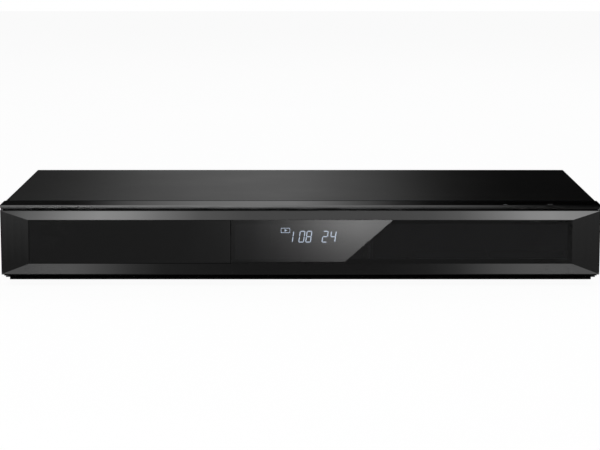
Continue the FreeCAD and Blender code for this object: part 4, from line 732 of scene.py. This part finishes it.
jack_barrel = hollow("jack_barrel", BARREL_RADIUS, 0.00075, PANEL_Y - 0.0003, REAR_Y, 0.0072)
jack_collar = hollow("jack_collar", COLLAR_RADIUS, 0.0013, PANEL_Y - 0.0015, PANEL_Y + 0.0004,
                     0.0003)
jack_core = hollow("jack_core", CORE_RADIUS, 0.00155, PANEL_Y, REAR_Y - 0.0009, 0.0060)
jack_contact = hollow("jack_contact", CONTACT_RADIUS, 0.0004, PANEL_Y, REAR_Y - 0.0022, 0.0050,
                      24, 0.0001)
jack_parts = (jack_barrel, jack_collar, jack_core, jack_contact)
print("faces of one jack", sum(len(part.data.polygons) for part in jack_parts))

# %% Four jacks and their block
JACKS = {
    "white": (0.062, 0.0386, white_plastic), "red": (0.048, 0.0386, red_plastic),
    "yellow": (0.062, 0.0246, yellow_plastic), "orange": (0.048, 0.0246, orange_plastic),
}
SLOTS = ("bright_steel", "satin_black", "satin_black", "brass")
for colour, (x, z, plastic) in JACKS.items():
    for part, finish, slot in zip(jack_parts, (nickel, plastic, plastic, gold), SLOTS):
        finish_piece(copy_of(part, colour + "_" + part.name, (x, 0, z)), finish)
for part in jack_parts:
    bpy.data.objects.remove(part)

jack_low, jack_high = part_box("audio_video_jacks")
jack_block = start_cube("jack_block", jack_low, (jack_high.x, PANEL_Y - 0.0008, jack_high.z))
bevel_edges(jack_block, 0.0008, 3)
finish_piece(jack_block, black_abs)
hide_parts("audio_video_jacks")
print("jacks", len(JACKS))

# %% [markdown]
# ## Contacts
#
# Gold-plated contacts show in the mouths of the sockets. Each kind is modelled once and copied
# across at its pitch: eight sprung wires in the network socket, two rows of fine strips on the
# tongue of the video socket, and four broad strips on the tongue of the front data socket.

# %% Network contacts
WIRE_PITCH = 0.00102
WIRE_HALF = 0.000175
WIRE_DROP = 0.0032

network_low, network_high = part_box("network_socket")
network_x = (network_low.x + network_high.x) / 2
mouth_top = network_low.z + 0.0110
wire = start_cube("network_wire", (-WIRE_HALF, PANEL_Y - 0.0100, mouth_top - 0.00075),
                  (WIRE_HALF, PANEL_Y - 0.0012, mouth_top - 0.00045))
pick(wire, "VERT", lambda v: v.co.y < PANEL_Y - 0.009)
bpy.ops.transform.translate(value=(0, 0, -WIRE_DROP))
leave_edit()
pick(wire, "FACE", lambda f: f.normal.y < -0.9)
bpy.ops.mesh.extrude_region_move(TRANSFORM_OT_translate={"value": (0, -0.0006, 0.0009)})
leave_edit()
bevel_edges(wire, 0.00006, 1)
wires = copies(wire, [(network_x + (k - 3.5) * WIRE_PITCH, 0, 0) for k in range(8)])
finish_piece(joined("network_contacts", wires), gold)
print("network wires", len(wires))

# %% Video contacts
SKIN = 0.00006  # how far a sleeve stands off the CAD tongue inside it
STRIP_PITCH = 0.001
STRIP_HALF = 0.00023
STRIP_THICKNESS = 0.00005


def tongue_sleeve(name, low, high, way_out, finish):
    """A sleeve over the tongue of a socket, with the edges of its outer end bevelled."""
    sleeve = start_cube(name, low, high)
    pick(sleeve, "FACE", lambda f: f.normal.y * way_out > 0.9)
    bpy.ops.mesh.bevel(offset=0.0003, segments=2, affect="EDGES")
    leave_edit()
    finish_piece(sleeve, finish)


video_low, video_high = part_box("video_socket")
tongue_low = Vector((video_low.x + 0.0020 - SKIN, PANEL_Y - 0.0090, video_low.z + 0.0023 - SKIN))
tongue_high = Vector((video_high.x - 0.0020 + SKIN, PANEL_Y - 0.0014, video_low.z + 0.0039 + SKIN))
tongue_sleeve("video_tongue", tongue_low, tongue_high, 1, black_epoxy)

strip = start_cube("video_strip", (-STRIP_HALF, PANEL_Y - 0.0085, 0),
                   (STRIP_HALF, PANEL_Y - 0.0020, STRIP_THICKNESS))
bevel_edges(strip, 0.00002, 1)
middle = (tongue_low.x + tongue_high.x) / 2
rows = [(middle + (k - 4.5) * STRIP_PITCH, 0, tongue_high.z) for k in range(10)]
rows += [(middle + (k - 4) * STRIP_PITCH, 0, tongue_low.z - STRIP_THICKNESS) for k in range(9)]
strips = copies(strip, rows)
finish_piece(joined("video_contacts", strips), gold)
print("video strips", len(strips))

# %% Front data contacts
BLADE_HALF = 0.0005
BLADE_THICKNESS = 0.00008
BLADE_PLACES = (-0.0035, -0.0010, 0.0010, 0.0035)

data_low, data_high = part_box("front_data_socket")
tongue_low = Vector((data_low.x + 0.0029 - SKIN, data_low.y + 0.0011, data_low.z + 0.0017 - SKIN))
tongue_high = Vector((data_high.x - 0.0013 + SKIN, data_high.y - 0.0035,
                      data_high.z - 0.0017 + SKIN))
tongue_sleeve("data_tongue", tongue_low, tongue_high, -1, white_plastic)

blade = start_cube("data_blade", (tongue_low.x - BLADE_THICKNESS, data_low.y + 0.0018, -BLADE_HALF),
                   (tongue_low.x, data_low.y + 0.0085, BLADE_HALF))
bevel_edges(blade, 0.00003, 1)
blades = copies(blade, [(0, 0, (data_low.z + data_high.z) / 2 + place) for place in BLADE_PLACES])
finish_piece(joined("data_contacts", blades), gold)
print("data blades", len(blades))

# %% [markdown]
# ## Aerial sockets and mains pins
#
# Inside each aerial barrel sits a white insulator with a raised boss round the centre contact.
# The mains inlet's two pins are nickel-plated, with rounded tips.

# %% Insulators and pins
INSULATOR_RADIUS = 0.00355
PIN_RADIUS = 0.00123
PIN_LENGTH = 0.0104
PIN_OFFSET = 0.0043

aerial_low, aerial_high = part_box("aerial_sockets")
barrel_inset = COLLAR_RADIUS + 0.0006
aerial_z = (aerial_low.z + aerial_high.z) / 2
insulator = start_round("aerial_insulator", (0, PANEL_Y + 0.0004, 0), INSULATOR_RADIUS, 0.0016,
                        "Y", 40)
pick(insulator, "FACE", lambda f: f.normal.y > 0.9)
for wall, push in ((0.0014, 0.0016), (0.0012, -0.0010)):
    bpy.ops.mesh.inset(thickness=wall)
    bpy.ops.mesh.extrude_region_move(TRANSFORM_OT_translate={"value": (0, push, 0)})
leave_edit()
bevel_edges(insulator, 0.00012)
inlet_low, inlet_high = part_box("ac_inlet")
inlet_x = (inlet_low.x + inlet_high.x) / 2
inlet_z = (inlet_low.z + inlet_high.z - 0.001) / 2
pin = start_round("mains_pin", (0, PANEL_Y - 0.0071, 0), PIN_RADIUS, PIN_LENGTH, "Y", 24)
bevel_edges(pin, 0.0006, 4)
for side, aerial_x, pin_x in (("left", aerial_low.x + barrel_inset, inlet_x - PIN_OFFSET),
                              ("right", aerial_high.x - barrel_inset, inlet_x + PIN_OFFSET)):
    finish_piece(copy_of(insulator, side + "_aerial_insulator", (aerial_x, 0, aerial_z)),
                 white_plastic)
    finish_piece(copy_of(pin, side + "_mains_pin", (pin_x, 0, inlet_z)), nickel)
for made in (insulator, pin):
    bpy.data.objects.remove(made)
print("insulators at height", round(aerial_z, 4), "pins at height", round(inlet_z, 4))

# %% [markdown]
# ## Printing on the rear panel
#
# The rear panel is screen-printed with thin frames round each group of sockets and a plain
# pictogram for each: a mast for the aerial, linked boxes for the network, a screen for the video
# socket, a note for sound and a wave for the mains. They carry no words. Every line is a flat bar
# of black ink.

# %% Flat bars of ink
PRINT = 0.00004
LINE = 0.00035


def ink_bar(ax, az, bx, bz, width=LINE):
    """A flat bar of ink on the rear panel between two points."""
    a, b = Vector((ax, 0, az)), Vector((bx, 0, bz))
    length = (b - a).length + width
    bar = start_cube("ink_bar", (-length / 2, PANEL_Y, -width / 2),
                     (length / 2, PANEL_Y + PRINT, width / 2))
    angle = math.atan2(bz - az, bx - ax)
    bar.data.transform(Matrix.Translation((a + b) / 2) @ Matrix.Rotation(-angle, 4, "Y"))
    return bar


def ink_frame(low_x, low_z, high_x, high_z):
    """A thin rectangular frame of ink."""
    frame_bar = start_cube("ink_frame", (low_x, PANEL_Y, low_z), (high_x, PANEL_Y + PRINT, high_z))
    cut_middle(frame_bar, LINE, lambda f: abs(f.normal.y) > 0.9)
    return frame_bar


print("ink helpers ready")

# %% Frames and pictograms
FRAMES = ((-0.0420, 0.0140, -0.0080, 0.0372), (0.0400, 0.0165, 0.0700, 0.0456),   # aerials, jacks
          (0.0288, 0.0357, 0.0312, 0.0375), (0.0262, 0.0325, 0.0284, 0.0341),     # linked boxes
          (0.0316, 0.0325, 0.0338, 0.0341), (0.0065, 0.0262, 0.0125, 0.0298))     # and a screen
MAST = ((-0.0250, 0.0308, -0.0250, 0.0345), (-0.0250, 0.0330, -0.0268, 0.0352),
        (-0.0250, 0.0330, -0.0232, 0.0352), (-0.0266, 0.0308, -0.0234, 0.0308))
LINKS = ((0.0300, 0.0357, 0.0300, 0.0349), (0.0273, 0.0349, 0.0327, 0.0349),
         (0.0273, 0.0349, 0.0273, 0.0341), (0.0327, 0.0349, 0.0327, 0.0341))
SCREEN_FOOT = ((0.0083, 0.0250, 0.0107, 0.0250),)
NOTE = ((0.0562, 0.0468, 0.0562, 0.0487), (0.0540, 0.0472, 0.0540, 0.0491),
        (0.0562, 0.0487, 0.0540, 0.0491), (0.0562, 0.0468, 0.0569, 0.0468, 0.0008),
        (0.0540, 0.0472, 0.0547, 0.0472, 0.0008))
WAVE_HEIGHT, WAVE_SWING, WAVE_STEP, WAVE_BARS = 0.0375, 0.0011, 0.0006, 12

crests = [(inlet_x + (k - WAVE_BARS / 2) * WAVE_STEP,
           WAVE_HEIGHT + WAVE_SWING * math.sin(k / WAVE_BARS * 2 * math.pi))
          for k in range(WAVE_BARS + 1)]
wave = tuple(a + b for a, b in zip(crests, crests[1:]))
ink = [ink_frame(*corners) for corners in FRAMES]
ink += [ink_bar(*ends) for ends in MAST + LINKS + SCREEN_FOOT + NOTE + wave]
rear_print = joined("rear_print", ink)
finish_piece(rear_print, black_ink, smooth=0)
print("frames", len(FRAMES), "bars", len(ink) - len(FRAMES))

# %% [markdown]
# ## The studio
#
# Nothing in a studio matters more for a gloss black object than what stands around it. A pale
# floor runs under it, and behind it all is white. The floor shows as nearly white to the camera
# and to glossy rays, and the small share of it that is still lit paper takes the soft shadow
# under the feet. The world lights the object a little from every side, but a glossy ray finds it
# dark, so that the cards below decide what the gloss black mirrors.

# %% Floor and world
FLOOR_SIZE = 8.0
FLOOR_GLOW_SHARE = 0.94
WORLD_LEVEL = 0.375
MIRRORED_WORLD_LEVEL = 0.001


def white_floor_material():
    material, tree, shader, place = new_material("white_studio_paper")
    grain = noise(tree, place, 3.0)
    feed(tree, shader, links={"Base Color": blend_colours(tree, grain, "#eeeeee", "#f4f4f4"),
                              "Roughness": between(tree, grain, 0.6, 0.7)})
    path = add(tree, "LightPath")
    seen = add(tree, "Math", {"operation": "MAXIMUM"},
               links={0: path.outputs["Is Camera Ray"], 1: path.outputs["Is Glossy Ray"]})
    share = add(tree, "Math", {"operation": "MULTIPLY"}, {1: FLOOR_GLOW_SHARE},
                {0: seen.outputs[0]}).outputs[0]
    glow = add(tree, "Emission", values={"Color": linear("#ffffff"), "Strength": 1.0})
    mix = add(tree, "MixShader", links={0: share, 1: shader.outputs["BSDF"], 2: glow.outputs[0]})
    show(tree, mix.outputs[0])
    return material


bpy.ops.mesh.primitive_plane_add(size=FLOOR_SIZE, location=(0, 0, -0.0002))
floor = bpy.context.object
floor.name = "floor"
floor.data.materials.append(white_floor_material())

world = bpy.data.worlds.new("studio")
bpy.context.scene.world = world
world.use_nodes = True
tree = world.node_tree
tree.nodes.clear()
path = add(tree, "LightPath")
soft = add(tree, "Background", values={"Color": linear("#dfe2e6"), "Strength": WORLD_LEVEL})
white = add(tree, "Background", values={"Color": linear("#ffffff"), "Strength": 1.0})
dim = add(tree, "Background", values={"Color": linear("#ffffff"), "Strength": MIRRORED_WORLD_LEVEL})
first = add(tree, "MixShader", links={0: path.outputs["Is Glossy Ray"], 1: soft.outputs[0],
                                      2: dim.outputs[0]})
seen = add(tree, "Math", {"operation": "MAXIMUM"},
           links={0: path.outputs["Is Camera Ray"], 1: path.outputs["Is Transmission Ray"]})
last = add(tree, "MixShader", links={0: seen.outputs[0], 1: first.outputs[0], 2: white.outputs[0]})
add(tree, "OutputWorld", links={"Surface": last.outputs[0]})
print("floor and world ready")

# %% [markdown]
# ## Light cards
#
# Photographers build the picture on a glossy object with cards: large pale sheets, each placed
# where one face of the object would mirror it. Here each card glows by levels from left to right.
# The cards are seen only by reflections, so they neither light the object nor stand in the
# picture.
#
# Where a card stands follows from the mirror rule. The top sees low behind the object, the
# chamfer of the strip sees overhead, the upper bevel of the flap sees the floor close in front,
# the lower bevel sees up towards the camera, and the recessed panel sees the floor a hand's width
# further out.


# %% Helpers for a glowing sheet
def start_sheet(name, centre, size, turn):
    bpy.ops.mesh.primitive_plane_add(size=1, location=centre, rotation=turn)
    bpy.context.object.scale = (*size, 1)
    return named(name)


def front_only(tree, glow):
    """The glow on the front of a sheet, and nothing to be seen from behind."""
    clear = add(tree, "BsdfTransparent")
    back = add(tree, "NewGeometry").outputs["Backfacing"]
    return add(tree, "MixShader", links={0: back, 1: glow, 2: clear.outputs[0]}).outputs[0]


def ramp(tree, value, stops):
    """A grey ramp with stops at places in metres, in rising order."""
    low, high = stops[0][0], stops[-1][0]
    along = add(tree, "MapRange", None, {"From Min": low, "From Max": high}, {"Value": value})
    node = add(tree, "ValToRGB", links={"Fac": along.outputs["Result"]})
    elements = node.color_ramp.elements
    elements.remove(elements[1])
    for index, (x, level) in enumerate(stops):
        spot = (x - low) / (high - low)
        stop = elements[0] if index == 0 else elements.new(spot)
        stop.position = spot
        stop.color = (level, level, level, 1)
    return node.outputs["Color"]


def hide_from_all_but_gloss(sheet):
    for ray in ("camera", "diffuse", "transmission", "shadow"):
        setattr(sheet, "visible_" + ray, False)


print("sheet helpers ready")


# %% Card helper
def card(name, centre, size, levels, turn=(0, 0, 0), fade=None, base=0.0, one_sided=False):
    """A glowing sheet. Levels are (x, strength) pairs from left to right, fade the same along Y."""
    sheet = start_sheet(name, centre, size, turn)
    material, tree, shader, place = new_material(name + "_glow")
    axes = add(tree, "SeparateXYZ", links={"Vector": place})
    top = max(level for _, level in levels)
    colour = ramp(tree, axes.outputs["X"], [(x, level / top) for x, level in levels])
    if fade:
        along = ramp(tree, axes.outputs["Y"], fade)
        colour = add(tree, "MixRGB", {"blend_type": "MULTIPLY"}, {"Fac": 1.0},
                     {"Color1": colour, "Color2": along}).outputs["Color"]
        colour = add(tree, "MixRGB", {"blend_type": "ADD"},
                     {"Fac": 1.0, "Color2": [base / top] * 4}, {"Color1": colour}).outputs["Color"]
    glow = add(tree, "Emission", values={"Strength": top}, links={"Color": colour}).outputs[0]
    show(tree, front_only(tree, glow) if one_sided else glow)
    sheet.data.materials.append(material)
    hide_from_all_but_gloss(sheet)
    return sheet


print("card helper ready")

# %% Cards behind, above and in front
UPRIGHT = (math.pi / 2, 0, 0)
card("back_card", (0, 1.2, 0.145), (2.4, 0.31), [
    (-1.20, 0.45), (-0.95, 0.35), (-0.72, 0.03), (-0.60, 0.006), (-0.323, 0.012), (-0.300, 0.028),
    (-0.281, 0.056), (-0.239, 0.143), (-0.197, 0.222), (-0.141, 0.310), (-0.071, 0.360),
    (-0.010, 0.366), (0.020, 0.300), (0.055, 0.207), (0.083, 0.143), (0.111, 0.089), (0.139, 0.041),
    (0.181, 0.011), (0.223, 0.005), (0.30, 0.001), (0.62, 0.001), (0.75, 0.03), (0.95, 0.35),
    (1.20, 0.45)], UPRIGHT)
card("high_back_card", (0, 1.19, 0.60), (2.4, 0.60), [
    (-1.20, 0.80), (-0.75, 0.60), (-0.57, 0.20), (-0.44, 0.040), (-0.38, 0.060), (-0.34, 0.120),
    (-0.28, 0.195), (-0.239, 0.215), (-0.197, 0.23), (-0.141, 0.250), (-0.071, 0.270), (0.0, 0.280),
    (0.055, 0.235), (0.083, 0.235), (0.111, 0.240), (0.139, 0.190), (0.181, 0.050),
    (0.223, 0.006), (0.26, 0.000), (0.30, 0.0), (0.50, 0.0), (0.68, 0.04), (0.88, 0.55),
    (1.20, 0.80)], UPRIGHT)
card("overhead_card", (0, -0.15, 1.1), (2.4, 1.5), [
    (-0.55, 1.8), (-0.379, 2.3), (-0.291, 2.86), (-0.253, 3.10), (-0.215, 3.39), (-0.064, 3.33),
    (0.0, 2.97), (0.05, 2.69), (0.075, 2.32), (0.126, 1.81), (0.163, 1.52), (0.201, 1.155),
    (0.252, 0.717), (0.290, 0.34), (0.315, 0.2), (0.340, 0.085), (0.368, 0.047)])
card("front_card", (0, -1.1, 0.875), (2.4, 1.05), [
    (-0.50, 1.5), (-0.36, 1.6), (-0.34, 1.77), (-0.301, 1.77), (-0.262, 1.163), (-0.2225, 0.594),
    (-0.183, 0.295), (-0.131, 0.234), (-0.066, 0.195), (0.10, 0.195), (0.13, 0.234),
    (0.169, 0.295), (0.208, 0.526), (0.260, 1.31), (0.2995, 1.73), (0.326, 1.82),
    (0.352, 1.77), (0.50, 1.7)], UPRIGHT)
print("four large cards")

# %% [markdown]
# The cards in front lie flat on the floor like sheets of paper. A wide dark one comes first,
# because a gloss black panel over a white floor would look grey. On it lie a thin strip for the
# rim under the flap, a pale one further out for the strip's lip, and the sheet whose slanted edge
# crosses the panel. The pale strip for the upper bevel is tilted and glows on one side only, so
# that no shallow ray meets it.

# %% Cards on the floor
DARK_LEVEL = 0.235

card("dark_floor_card", (0, -0.56, 0.0006), (1.4, 0.93), [(-0.7, DARK_LEVEL), (0.7, DARK_LEVEL)])
# A nearly black sheet just in front of the foot is painted shade: it stands in for the shaded floor
# that the polished foot mirrors.
card("foot_shade_card", (0, -0.1135, 0.0008), (1.4, 0.045), [(-0.7, 0.004), (0.7, 0.004)])
card("rim_floor_card", (0, -0.1446, 0.001), (0.50, 0.0050), [
    (-0.25, 1.77), (-0.170, 1.77), (-0.13, 0.60), (-0.09, 0.235), (0.09, 0.235), (0.13, 0.60),
    (0.170, 1.77), (0.25, 1.77)])
card("near_floor_card", (0, -0.1377, 0.0085), (0.50, 0.028), [
    (-0.23, 1.2), (-0.2154, 1.71), (-0.2057, 2.35), (-0.1945, 2.86), (-0.1721, 4.38),
    (-0.1497, 5.36), (-0.1273, 4.69), (-0.1049, 3.24), (-0.075, 1.80), (-0.0377, 1.30),
    (0.0743, 1.30),
    (0.0967, 1.456), (0.1191, 1.94), (0.149, 3.57), (0.1714, 5.02), (0.1863, 5.36),
    (0.2012, 4.93), (0.23, 4.2)], turn=(math.radians(30), 0, 0), one_sided=True)
card("lip_floor_card", (0, -0.5395, 0.0012), (0.8, 0.146), [
    (-0.40, 2.0), (-0.2626, 2.78), (-0.2098, 3.35), (-0.1825, 3.62), (-0.155, 3.98), (-0.046, 3.90),
    (0.0, 3.48), (0.036, 3.15), (0.054, 2.72), (0.0905, 2.12), (0.118, 1.78), (0.145, 1.355),
    (0.1815, 0.84), (0.209, 0.40), (0.227, 0.235), (0.245, 0.10), (0.265, 0.055)])
LIT_NEAR, LIT_FAR = -0.185, -0.440
LIT_LEFT, LIT_RIGHT = -0.14, 0.034
LIT_SLOPE = 0.2321
lit_card = card("lit_floor_card", ((LIT_LEFT + LIT_RIGHT) / 2, (LIT_NEAR + LIT_FAR) / 2, 0.0014),
                (LIT_RIGHT - LIT_LEFT, LIT_NEAR - LIT_FAR), [
    (-0.14, 0.0), (-0.095, 0.03), (-0.065, 0.14), (-0.041, 0.33), (-0.02, 0.90), (0.0, 1.77),
    (0.0341, 3.96), (0.05, 4.46), (0.0686, 3.90), (0.10, 3.1)],
    fade=[(-0.440, 1.0), (-0.3865, 1.0), (-0.333, 0.86), (-0.293, 0.69), (-0.2544, 0.56),
          (-0.2179, 0.44), (-0.185, 0.36)], base=DARK_LEVEL)
pick(lit_card, "VERT", lambda v: v.co.x > 0 and v.co.y < -0.3)
bpy.ops.transform.translate(value=((LIT_NEAR - LIT_FAR) * LIT_SLOPE, 0, 0))
leave_edit()
print("floor cards placed")

# %% [markdown]
# The two end bevels of the flap look inwards across the floor, where every other face looks
# outwards. So a few small upright slats, glowing on their outer side only, show in the end bevels
# and nowhere else. They glow more towards the top, and the bevels darken from top to bottom.

# %% Slats for the end bevels
SLAT_PITCH = 0.005
SLATS = 8
SLAT_X, SLAT_Y, SLAT_Z = 0.2095, -0.29, 0.031
SLAT_SIZE = (0.058, 0.36)


def slat_card(name, side, low_level, high_level):
    material, tree, shader, place = new_material(name + "_glow")
    height = add(tree, "SeparateXYZ", links={"Vector": place}).outputs["Z"]
    level = add(tree, "MapRange", values={"From Min": 0.012, "From Max": 0.052, "To Min": low_level,
                                          "To Max": high_level}, links={"Value": height})
    glow = add(tree, "Emission", values={"Color": linear("#ffffff")},
               links={"Strength": level.outputs["Result"]}).outputs[0]
    show(tree, front_only(tree, glow))
    sheet = start_sheet(name, (side * SLAT_X, SLAT_Y, SLAT_Z), SLAT_SIZE,
                        (0, side * math.pi / 2, 0))
    slats = joined(name, copies(sheet, [(-side * SLAT_PITCH * k, 0, 0) for k in range(SLATS)]))
    slats.data.materials.append(material)
    hide_from_all_but_gloss(slats)


slat_card("left_slat_card", -1, 0.26, 0.60)
slat_card("right_slat_card", 1, 0.33, 0.46)
print("slats placed")

# %% [markdown]
# ## Soft lamps
#
# Three large soft lamps light the object at a plain level: a mid-grey surface on its top renders
# as mid grey. They don't show in the gloss, because a square of light on the black panel would
# give the studio away, and the cards already say what the gloss mirrors.

# %% Soft lamps
for name, place, size, power in (("key_softbox", (-0.9, -1.1, 1.5), 1.2, 20.0),
                                 ("fill_softbox", (1.1, -0.9, 1.3), 1.2, 12.5),
                                 ("rear_softbox", (0.2, 1.5, 1.6), 1.4, 15.0)):
    bpy.ops.object.light_add(type="AREA", location=place)
    lamp = bpy.context.object
    lamp.name = name
    lamp.data.size = size
    lamp.data.energy = power
    lamp.visible_glossy = False
    aim = Vector((0, 0, 0.03)) - Vector(place)
    lamp.rotation_euler = aim.to_track_quat("-Z", "Y").to_euler()
print("lamps ready")

# %% [markdown]
# ## View settings
#
# The view transform is Standard, so that a colour renders as it is written.

# %% Finish
bpy.context.scene.view_settings.view_transform = "Standard"
